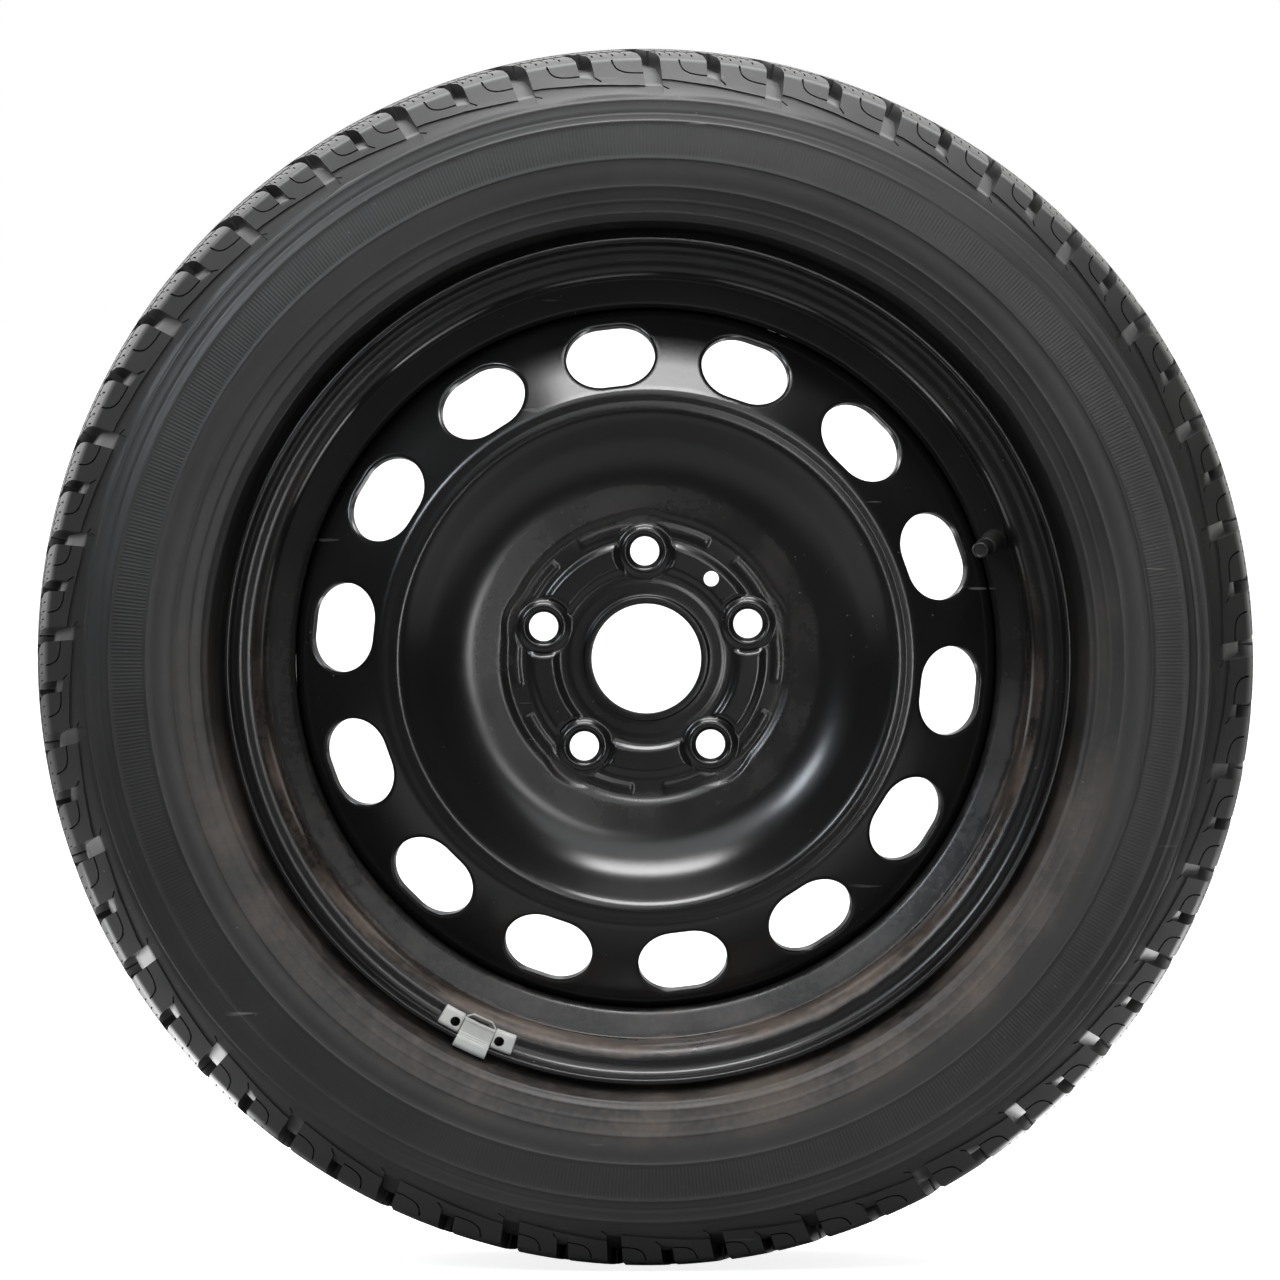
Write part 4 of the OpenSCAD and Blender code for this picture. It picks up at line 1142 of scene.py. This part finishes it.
        # Centre, radius, distance kept free of other points, and radii of the rings of points round it
        holes = [(centre, self.hole_r, 15.6, (8.2, 8.9, 9.8, 10.6, 11.5, 12.4, 13.3, 14.2, 15.1))]
        if with_locating:
            r, angle, radius = self.locating
            holes.append((r * along(angle), radius, 5.6, (4.4, 5.0)))
        loops, free = [], []
        for middle, radius, _, rings in holes:
            count = 56 if radius > 5 else 32
            loops.append(np.array([middle + radius * along(i * 360 / count) for i in range(count)]))
            free += [middle + ring * along((i + 0.5 * (k % 2)) * 360 / count)
                     for k, ring in enumerate(rings, 1) for i in range(count)]
        for k, r in enumerate(radii[1:-1]):
            count = max(4, round(math.radians(end - start) * r / self.spacing(fine, r)))
            ring = np.array([r * along(start + (i + 0.5 + 0.5 * (k % 2)) * (end - start) / count)
                             for i in range(count - 1)])
            for middle, _, clear, _ in holes:
                ring = ring[np.linalg.norm(ring - middle, axis=1) > clear]
            free += list(ring)
        points, triangles = triangulated(loops, sides + [inner, outer], np.array(free))
        middles = points[triangles].mean(1)
        keep = np.linalg.norm(middles, axis=1) > self.inner_r * math.cos(math.radians(step)) - 0.001
        for loop in loops:
            keep &= ~inside(middles, loop)
        return points, triangles[keep], loops

    def pad(self, skin: Skin) -> None:
        """Adds pad and bowl, both faces, with their holes."""
        under_end = float(self.face(np.array([self.join_s]), -self.thickness / 2)[0, 0])
        for first in (True, False):
            top = self.sector(first, True, self.bowl_end_r)
            under = self.sector(first, False, under_end)
            for k in ([0] if first else range(1, self.bolts)):
                turn = k * 360 / self.bolts
                c, n = along(turn)
                spin = np.array([[c, n], [-n, c]])
                for (points, triangles, _), height in ((top, self.pad_top), (under, self.pad_under)):
                    xy = points @ spin
                    skin.add(np.column_stack([xy[:, 0], -height(xy), xy[:, 1]]) * MM, triangles)
                for loop in top[2]:
                    xy = loop @ spin
                    walls = [np.column_stack([xy[:, 0], -z, xy[:, 1]]) * MM
                             for z in (self.pad_top(xy), self.pad_under(xy))]
                    skin.bridge(*walls)

    def collar(self, skin: Skin) -> None:
        """Adds the collar round the bore."""
        xy = np.array([[self.inner_r, 0.0]])
        path = rounded([(self.inner_r, float(self.pad_top(xy)[0]), 0), (32.55, 50.3, 1.1),
                        (32.55, self.collar_top, 0.9), (self.bore_r, self.collar_top, 0.5),
                        (self.bore_r, self.pad_z - self.thickness / 2, 4.2),
                        (self.inner_r, self.pad_z - self.thickness / 2, 0)], 6)
        skin.revolve(path, self.arc_angles(2), closed=False)

    def arc_angles(self, every: int) -> np.ndarray:
        """Angles of the columns round the disc."""
        return self.first_angle + np.arange(self.columns // every) * every * self.step

    def vent_outline(self, grow: float) -> np.ndarray:
        """Outline of a vent, grown outwards, as lengths (round the wheel, along the slope)."""
        half_l, half_w = self.vent_half
        straight = half_l - half_w
        end = arc((straight, 0), half_w + grow, -90, 90, 30)
        side = [(x, half_w + grow) for x in np.linspace(straight, -straight, 6)[1:-1]]
        half = np.vstack([end, side])
        return np.vstack([half, -half])

    def band_plane(self, outline: np.ndarray) -> np.ndarray:
        """A vent's outline on the unrolled band, as (angle in degrees, length along the middle line)."""
        flat_r = self.vent_r + outline[:, 1] * math.cos(math.radians(self.band_angle))
        r = np.hypot(flat_r, outline[:, 0])
        s = np.interp(r, self.middle[:, 0], self.along_middle)
        return np.column_stack([np.degrees(np.arctan2(outline[:, 0], flat_r)), s])

    def band(self, skin: Skin) -> None:
        """Adds crest and vented band, both faces, with the rolled edges of the vents."""
        span, wide = 360 / self.vents, math.radians(self.vent_r)
        columns = self.columns // self.vents
        angles = np.linspace(-span / 2, span / 2, columns + 1)
        scale = np.array([wide, 1.0])
        hole = self.band_plane(self.vent_outline(0)) * scale
        for half, fine in ((self.thickness / 2, True), (-self.thickness / 2, False)):
            s = self.along_middle
            bends = s[(s > self.join_s + 0.4) & (s < self.skirt_s - 0.4)]
            rows = [self.join_s] + list(bends[::1 if fine else 2]) + [self.skirt_s]
            spread = [rows[0]]
            for row in rows[1:]:
                pieces = max(1, round((row - spread[-1]) / (2.4 if fine else 3.4)))
                spread += list(np.linspace(spread[-1], row, pieces + 1)[1:])
            sides = [np.column_stack([np.full(len(spread), a * wide), spread]) for a in (-span / 2, span / 2)]
            ends = [np.column_stack([angles * wide, np.full(len(angles), row)])
                    for row in (spread[0], spread[-1])]
            grown = (0.35, 0.8, 1.5, 2.6) if fine else (1.2,)
            rings = [self.band_plane(self.vent_outline(g)) * scale for g in grown]
            clear = inside_or_near(hole, 3.3 if fine else 2.2)
            grid = np.array([(a * wide, s) for k, s in enumerate(spread[1:-1])
                             for a in angles[1:-1][k % 2::2 if fine else 3]])
            grid = grid[~clear(grid)]
            points, triangles = triangulated([hole], sides + ends, np.vstack([grid] + rings))
            triangles = triangles[~inside(points[triangles].mean(1), hole)]
            away = nearest(points, np.vstack([hole, (hole + np.roll(hole, 1, 0)) / 2]))
            roll = self.roll_top * (1 - np.clip(away / self.roll_w, 0, 1)) ** 2
            face = self.face(points[:, 1], half - (roll if fine else -self.roll_under * (roll > 0.7)))
            edge_in = self.face(hole[:, 1], self.thickness / 2 - self.roll_top)
            edge_out = self.face(hole[:, 1], -self.thickness / 2 + self.roll_under)
            for i in range(self.vents):
                turn = self.vent_phase + i * span
                skin.add(placed(face[:, 0], points[:, 0] / wide + turn, face[:, 1]), triangles)
                if fine:
                    theta = hole[:, 0] / wide + turn
                    skin.bridge(*(placed(edge[:, 0], theta, edge[:, 1]) for edge in (edge_in, edge_out)))

    def skirt(self, skin: Skin) -> None:
        """Adds the skirt that is pressed into the well."""
        half = self.thickness / 2
        s = np.array([self.skirt_s, self.along_middle[-1] - 0.8, self.along_middle[-1]])
        out, under = self.face(s, [half, half, half - 0.8]), self.face(s, [-half, -half, 0.8 - half])
        skin.revolve(np.vstack([out, under[::-1]]), self.arc_angles(1), closed=False)

    def build(self) -> bpy.types.Object:
        """Makes the disc."""
        skin = Skin()
        self.collar(skin)
        self.pad(skin)
        self.band(skin)
        self.skirt(skin)
        disc = skin.piece("disc_pressed", "wheel", "disc_paint", sharp=48)
        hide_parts("wheel_disc")
        dress(disc, DISC_PAINT)
        return disc


def inside_or_near(outline: np.ndarray, near: float) -> Callable[[np.ndarray], np.ndarray]:
    """A test that says which points lie in an outline or near it."""
    def test(points: np.ndarray) -> np.ndarray:
        """Says it for each point."""
        return inside(points, outline) | (nearest(points, outline) < near)
    return test


# VALVE
@dataclass
class Valve:
    """The snap-in valve: rubber body, threaded stem and fluted cap, each turned about the valve's axis."""

    angle: float = 18.4
    seat: tuple[float, float] = (191.187, 54.952)
    lean: float = 15.03
    hole_r: float = 5.65
    stem_r: float = 3.8
    pitch: float = 0.79
    thread: float = 0.28
    thread_z: tuple[float, float] = (23.3, 32.6)
    run_out: float = 0.8
    flutes: int = 18
    flute: float = 0.24
    well: tuple[float, float] = (185.65, 46.8)
    well_slope: float = 0.857
    well_h: float = 3.5

    def at(self, r: np.ndarray, turn: np.ndarray, z: np.ndarray) -> np.ndarray:
        """Points round the valve's axis, kept out of the wall of the well, as metres in the part's frame."""
        lean = math.radians(self.lean)
        x, y = r * np.cos(turn), r * np.sin(turn)
        out = self.seat[0] + x * math.cos(lean) - z * math.sin(lean)
        up = self.seat[1] + x * math.sin(lean) + z * math.cos(lean)
        least = self.well[0] + self.well_slope * np.clip(up - self.well[1], 0, self.well_h)
        out = np.where(up < self.well[1] + self.well_h, np.maximum(out, least), out)
        return placed(np.hypot(out, y), self.angle + np.degrees(np.arctan2(y, out)), up)

    def turned(self, outline: np.ndarray, columns: int = 64,
               shape: Callable[[np.ndarray, np.ndarray, np.ndarray], np.ndarray] | None = None) -> Skin:
        """Turns a closed outline about the valve's axis.

        Args:
            outline: its points as radius and height.
            columns: steps round the axis.
            shape: gives the radius from radius, turn and height, where it isn't the outline's.

        Returns:
            The skin.
        """
        turn = np.arange(columns) * 2 * math.pi / columns
        r, turns = np.meshgrid(outline[:, 0], turn, indexing="ij")
        z = np.repeat(outline[:, 1:], columns, 1)
        if shape:
            r = shape(r, turns, z)
        skin = Skin()
        skin.add(self.at(r, turns, z), ring_faces(len(outline), columns, True))
        return skin

    def hole(self) -> Skin:
        """The plug that cuts the valve's hole in the rim."""
        return self.turned(np.array([(0, -7), (self.hole_r, -7), (self.hole_r, 3), (0, 3)], float))

    def rubber(self) -> bpy.types.Object:
        """Makes the rubber body: button, groove for the rim's edge, lip and waisted neck."""
        neck = rounded([(7.1, 0.1, 0), (7.1, 1.3, 0.5), (6.1, 2.4, 1.2), (5.5, 6.2, 6), (4.95, 13.6, 9),
                        (5.35, 15.4, 0.5), (5.3, 22.2, 1), (4.7, 23, 0.4), (3.85, 23, 0)], 5)
        low = [(3.85, 17), (3.3, 16), (3.3, -9.8), (8.3, -9.8), (9.2, -9.5), (9.5, -8.6), (9.5, -5.4),
               (6.45, -2.9), (5.55, -2.9), (5.55, 0.1)]
        body = self.turned(np.vstack([neck, low])).piece("valve_rubber_body", "wheel", "valve_rubber")
        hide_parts("valve_body")
        dress(body, VALVE_RUBBER)
        return body

    def stem(self) -> bpy.types.Object:
        """Makes the brass stem with its thread."""
        foot, head = self.thread_z
        cut_z = np.arange(foot, head, self.pitch / 6)
        outline = np.vstack([[(1.7, -7.8), (3.25, -7.8), (3.25, 16.05), (self.stem_r, 17.05)],
                             np.column_stack([np.full(len(cut_z), self.stem_r), cut_z]),
                             [(self.stem_r, 32.7), (3.2, 33.3), (2.9, 33.3), (2.6, 33.0), (2.6, 14.3),
                              (1.7, 13.1)]])

        def shape(r: np.ndarray, turn: np.ndarray, z: np.ndarray) -> np.ndarray:
            """Sinks the thread into the outer wall."""
            wave = 0.5 - 0.5 * np.cos(2 * math.pi * z / self.pitch - turn)
            runs = smooth_step((z - foot) / self.run_out) * smooth_step((head - z) / self.run_out)
            return r - self.thread * wave * runs * (r > self.stem_r - 0.01)

        stem = self.turned(outline, 48, shape).piece("valve_stem_threaded", "wheel", "brass", sharp=50)
        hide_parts("valve_stem")
        dress(stem, BRASS)
        return stem

    def cap(self) -> bpy.types.Object:
        """Makes the cap: a tapered shell with flutes and a dished top."""
        outer = rounded([(3.95, 23.4, 0), (4.78, 23.4, 0.3), (4.72, 24.9, 2), (4.66, 25.4, 1),
                         (4.45, 33, 1), (4.35, 35.2, 2), (3.9, 36.45, 0.8), (3.1, 36.45, 0.3),
                         (2.7, 35.95, 0.5), (0, 35.9, 0)], 5)
        wall_z = np.linspace(25.6, 32.8, 9)
        walls = np.column_stack([np.interp(wall_z, [25.4, 33], [4.66, 4.45]), wall_z])
        first = int(np.argmax(outer[:, 1] > wall_z[0]))
        above = outer[first:][outer[first:, 1] > wall_z[-1]]
        outline = np.vstack([outer[:first], walls, above, [(0, 34.9), (3.95, 34.9)]])

        def shape(r: np.ndarray, turn: np.ndarray, z: np.ndarray) -> np.ndarray:
            """Sinks the flutes into the outer wall."""
            runs = smooth_step((z - 25.4) / 0.9) * smooth_step((33.2 - z) / 0.9) * (r > 4.2)
            return r - self.flute * (0.5 + 0.5 * np.cos(self.flutes * turn)) * runs

        skin = self.turned(outline, 8 * self.flutes, shape)
        cap = skin.piece("valve_cap_fluted", "cap", "cap_plastic", sharp=50)
        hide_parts("valve_cap")
        dress(cap, CAP_PLASTIC)
        return cap

    def build(self) -> bpy.types.Object:
        """Makes rubber, stem and cap."""
        self.rubber()
        self.stem()
        return self.cap()


# WEIGHT
@dataclass
class Weight:
    """The balance weight: a coated body with an end block on each side of its spring clip."""

    angle: float = 245.2
    middle_r: float = 212.1
    face_z: float = 95.75
    half_l: float = 20.4
    clip_half: float = 8.6
    gap: float = 0.4
    waist: float = 1.1
    sheet_half: float = 0.45
    hole_u: float = 12.5
    hole_at_r: float = 212.2
    hole_r: float = 2.6
    hollow_r: float = 6.5

    def at(self, u: np.ndarray | float, rz: np.ndarray) -> np.ndarray:
        """Points at a length u round the wheel from the weight's middle."""
        return placed(rz[:, 0], self.angle + np.degrees(u / self.middle_r), rz[:, 1])

    def outline(self, face_z: float, inner_r: float) -> np.ndarray:
        """Outline of the body across the wheel's rim."""
        return np.vstack([arc(CURL, self.hollow_r, -90, 8, 8),
                          [(216.5, face_z - 0.9), (215.5, face_z), (inner_r + 1.4, face_z),
                           (inner_r, face_z - 1.5), (inner_r, 88.4), (inner_r + 1.6, 85.6)]])

    def end(self, side: int) -> bpy.types.Object:
        """Makes one end block with its hole."""
        skin = Skin()
        near, far = side * (self.clip_half + self.gap), side * self.half_l
        across = self.outline(self.face_z, 206.2)
        skin.block([self.at(u, across) for u in np.linspace(near, far, 5)])
        made = skin.plain("end")
        bevelled(made, 0.7)
        plug = Skin()
        plug.block([self.circle(side * self.hole_u, self.hole_r + grow, self.face_z + up)
                    for grow, up in ((0, -14), (0, -0.3), (0.5, 1))])
        cut(made, plug)
        return made

    def circle(self, u: float, radius: float, z: float) -> np.ndarray:
        """Points of a circle round a place u along the weight, at the height z."""
        turn = np.arange(40) * math.pi / 20
        out, over = self.hole_at_r + radius * np.cos(turn), radius * np.sin(turn)
        theta = self.angle + math.degrees(u / self.middle_r) + np.degrees(np.arctan2(over, out))
        return placed(np.hypot(out, over), theta, np.full(len(turn), z))

    def body(self) -> bpy.types.Object:
        """Makes the weight's body."""
        parts = [self.end(-1), self.end(1)]
        for half, drop in ((self.clip_half - 0.2, self.waist), (self.clip_half + self.gap + 1, 4)):
            skin = Skin()
            across = self.outline(self.face_z - drop, 207.4)
            skin.block([self.at(u, across) for u in np.linspace(-half, half, 7)])
            parts.append(skin.plain("waist"))
        body = joined("weight_body", parts, "wheel")
        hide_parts("balance_weight")
        dress(body, WEIGHT_COAT)
        return body

    def strip(self) -> np.ndarray:
        """Closed outline of the clip's strip: inner edge, panel, two ridges and the hook over the flange."""
        hook = np.array(CURL) + 10.1 * along(-14)
        face = self.face_z - 0.5
        path = rounded([(207.3, face, 0), (215.6, face, 3), (218.2, face + 1.7, 3), (223.3, face + 1.7, 2.4),
                        (223.3, 91.55, 2.2), (*hook, 0)], 6)
        path = np.vstack([path, arc(CURL, 10.1, -20, -44, 3)])
        outer = beside(path, self.sheet_half)
        steps = lengths_of(outer)
        outer = sampled(np.arange(0, steps[-1], 0.2), steps, outer)
        on_top = outer[:, 1] > self.face_z - 0.2
        for r, width, lift in ((208.3, 0.7, 0.3), (215.4, 0.3, 0.35), (216.5, 0.3, 0.35)):
            outer[:, 1] += on_top * lift * np.exp(-((outer[:, 0] - r) / width) ** 2)
        return np.vstack([outer, beside(path, -self.sheet_half)[::-1]])

    def bar(self, points: Sequence[tuple[float, float]], z: float, width: float, height: float) -> Skin:
        """A flat bar along points (u, r) at the height z."""
        line = np.array(points, float)
        side = normals_of(line) * width / 2
        low, high = z - height / 2, z + height / 2
        rows = []
        for a, b in zip(line + side, line - side):
            u = np.array([a[0], a[0], b[0], b[0]])
            rows.append(self.at(u, np.array([(a[1], low), (a[1], high), (b[1], high), (b[1], low)])))
        skin = Skin()
        skin.block(rows)
        return skin

    def clip(self) -> bpy.types.Object:
        """Makes the spring clip: the strip, and the narrow loop at its inner end."""
        strip = Skin()
        outline = self.strip()
        strip.block([self.at(u, outline) for u in np.linspace(-self.clip_half, self.clip_half, 9)])
        half = self.clip_half - 0.45
        z = self.face_z - 0.5
        loop = self.bar([(-half, 207.6), (-half, 206.4), (2.6 - half, 204.3), (half - 2.6, 204.3),
                         (half, 206.4), (half, 207.6)], z, 0.8, 0.8)
        tab = Skin()
        wide = half - 2.7
        across = np.array([(203.9, 90.8), (204.7, 90.8), (204.7, z), (203.9, z)])
        tab.block([self.at(u, across) for u in (-wide, 0, wide)])
        parts = [skin.plain("part") for skin in (strip, loop, tab)]
        for part in parts:
            bevelled(part, 0.16, 50)
        clip = joined("weight_spring_clip", parts, "wheel")
        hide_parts("weight_clip")
        dress(clip, CLIP_COAT)
        return clip

    def build(self) -> bpy.types.Object:
        """Makes weight and clip."""
        self.clip()
        return self.body()


# STUDIO
@dataclass(frozen=True)
class Lamp:
    """A soft lamp, placed by its angle round the wheel and its angle off the axle, in degrees."""

    name: str
    around: float
    off_axle: float
    distance: float
    size: tuple[float, float]
    radiance: float
    colour: tuple[float, float, float] = (1, 1, 1)


@dataclass(frozen=True)
class Card:
    """A pale card on the floor that throws light up, at a place in metres."""

    name: str
    place: tuple[float, float]
    size: tuple[float, float]
    radiance: float


LAMPS = (
    Lamp("top_box", 90, 58, 2.6, (1.5, 0.55), 16),
    Lamp("overhead", 88, 99, 2.4, (4.4, 1.5), 5.4, (0.97, 0.99, 1.0)),
    Lamp("front_fill", 90, 33, 2.6, (2.4, 1.1), 1.4, (0.95, 0.98, 1.0)),
    Lamp("window", 143, 41, 2.6, (0.55, 0.5), 14, (0.84, 0.92, 1.0)),
    Lamp("right_lamp", 45, 16, 2.6, (0.55, 0.35), 5.5),
    Lamp("low_lamp", -20, 15, 2.6, (0.4, 0.3), 12),
)
CARDS = (
    Card("left_card", (-0.52, 0.12), (0.5, 0.36), 5),
    Card("right_card", (0.48, 0.14), (0.5, 0.4), 4.5),
)


def glowing(source: Lamp | Card) -> bpy.types.Object:
    """Adds the glowing rectangle of a lamp or card, which the camera doesn't see."""
    data = bpy.data.lights.new(source.name, "AREA")
    data.shape, data.size, data.size_y = "RECTANGLE", *source.size
    data.energy = source.radiance * math.pi * source.size[0] * source.size[1]
    made = bpy.data.objects.new(source.name, data)
    made.visible_camera = False
    bpy.context.scene.collection.objects.link(made)
    return made


@dataclass(frozen=True)
class Studio:
    """Camera, floor, lamps and white surround."""

    distance: float = 8.0
    azimuth: float = -1.35
    elevation: float = 1.9
    pixels_per_metre: float = 1905
    image: int = 1280
    origin_px: tuple[float, float] = (644, 655)
    floor_z: float = -0.3181
    floor_half: float = 40
    card_gap: float = 0.004

    def camera(self) -> None:
        """Makes the camera at the photograph's viewing angle."""
        data = bpy.data.cameras.new("camera")
        data.sensor_width = 36
        data.lens = self.pixels_per_metre * self.distance * data.sensor_width / self.image
        a, e = math.radians(self.azimuth), math.radians(self.elevation)
        back = Vector((math.sin(a) * math.cos(e), -math.cos(a) * math.cos(e), math.sin(e)))
        half = self.image / 2
        right = (half - self.origin_px[0]) / self.pixels_per_metre
        up = (self.origin_px[1] - half) / self.pixels_per_metre
        turn = (-back).to_track_quat("-Z", "Y")
        aim = turn @ Vector((right, up, 0))
        camera = bpy.data.objects.new("camera", data)
        camera.location = aim + back * self.distance
        camera.rotation_euler = turn.to_euler()
        data.clip_end = 100
        bpy.context.scene.collection.objects.link(camera)
        bpy.context.scene.camera = camera

    def lamp(self, lamp: Lamp) -> None:
        """Adds a soft lamp that faces the wheel."""
        made = glowing(lamp)
        made.data.color = lamp.colour
        around, off = math.radians(lamp.around), math.radians(lamp.off_axle)
        out = Vector((math.sin(off) * math.cos(around), -math.cos(off), math.sin(off) * math.sin(around)))
        side = Vector((math.sin(around), 0, -math.cos(around)))
        turn = Matrix((side, out.cross(side), out)).transposed().to_4x4()
        made.matrix_world = Matrix.Translation(out * lamp.distance) @ turn

    def card(self, card: Card) -> None:
        """Adds a glowing card that lies on the floor and throws light up at the tyre's lower side."""
        made = glowing(card)
        made.location = (*card.place, self.floor_z + self.card_gap)
        made.rotation_euler = (math.pi, 0, 0)

    def floor(self) -> None:
        """Makes the floor: pale and glowing to the camera, and to other rays a painted shade, dark in front
        and lighter towards and behind the wheel.
        """
        mesh = bpy.data.meshes.new("floor")
        bm = bmesh.new()
        bmesh.ops.create_grid(bm, x_segments=1, y_segments=1, size=self.floor_half)
        bmesh.ops.translate(bm, verts=bm.verts, vec=(0, 0, self.floor_z))
        bm.to_mesh(mesh)
        bm.free()
        floor = bpy.data.objects.new("floor", mesh)
        bpy.context.scene.collection.objects.link(floor)
        made = bpy.data.materials.new("pale_floor")
        made.use_nodes = True
        made.node_tree.nodes.clear()
        s = Shading(made.node_tree)
        plain = s.node("ShaderNodeBsdfDiffuse", {"Color": (0.82, 0.82, 0.82, 1)})
        # Painted shade: what other rays see of the floor is dark in front and lighter towards and behind the
        # wheel
        depth = s.node("ShaderNodeSeparateXYZ", {0: s.place()}).outputs[1]
        shade = s.mix(s.ramp(depth, -0.8, 0.0), (0.035, 0.035, 0.035, 1), (0.3, 0.3, 0.3, 1))
        painted_floor_shade = s.node("ShaderNodeBsdfDiffuse", {"Color": shade})
        glow = s.node("ShaderNodeEmission", {"Color": (1, 1, 1, 1), "Strength": 0.85})
        both = s.node("ShaderNodeAddShader", {0: plain.outputs[0], 1: glow.outputs[0]})
        chosen = s.node("ShaderNodeMixShader", {0: s.seen(), 1: painted_floor_shade.outputs[0], 2: both.outputs[0]})
        s.node("ShaderNodeOutputMaterial", {"Surface": chosen.outputs[0]})
        mesh.materials.append(made)

    def surround(self) -> None:
        """Makes the world: white to the camera, and as light a room that is dark in front and grey behind."""
        world = bpy.data.worlds.new("studio")
        world.use_nodes = True
        world.node_tree.nodes.clear()
        bpy.context.scene.world = world
        s = Shading(world.node_tree)
        way = s.node("ShaderNodeTexCoord").outputs["Generated"]
        xyz = s.node("ShaderNodeSeparateXYZ", {0: way}).outputs
        behind = s.mix(s.ramp(xyz[0], -0.3, 0.9), (1.5, 1.5, 1.5, 1), (0.95, 0.94, 0.91, 1))
        grey = s.mix(s.ramp(xyz[1], -0.2, 0.3), (0.02, 0.02, 0.02, 1), behind)
        room = s.node("ShaderNodeBackground", {"Color": grey, "Strength": 1.0})
        white = s.node("ShaderNodeBackground", {"Color": (1, 1, 1, 1), "Strength": 1.0})
        chosen = s.node("ShaderNodeMixShader", {0: s.seen(), 1: room.outputs[0], 2: white.outputs[0]})
        s.node("ShaderNodeOutputWorld", {"Surface": chosen.outputs[0]})

    def build(self) -> None:
        """Makes the whole studio."""
        self.floor()
        self.surround()
        for lamp in LAMPS:
            self.lamp(lamp)
        for card in CARDS:
            self.card(card)
        bpy.context.scene.view_settings.view_transform = "Standard"


CARRIED = {
    "disc_welds": WELD_PAINT, "core_barrel": BRASS, "core_gasket": GASKET, "core_pin": BRASS,
    "core_cup": SEAL_RUBBER, "core_spring": SPRING, "cap_seal": SEAL_RUBBER,
}


def main() -> None:
    """Builds the scene in order and reports each piece."""
    logging.basicConfig(level=logging.INFO, format="%(message)s")
    studio = Studio()
    studio.camera()
    studio.build()
    for maker in (Disc(), Rim(), Tyre(), Valve(), Weight()):
        piece = maker.build()
        log.info("%s: %d faces", piece.name, len(piece.data.polygons))
    for node, finish in CARRIED.items():
        dress(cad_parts[node], finish)
        log.info("%s: carried over with %s", node, finish.name)


if __name__ == "__main__":
    main()
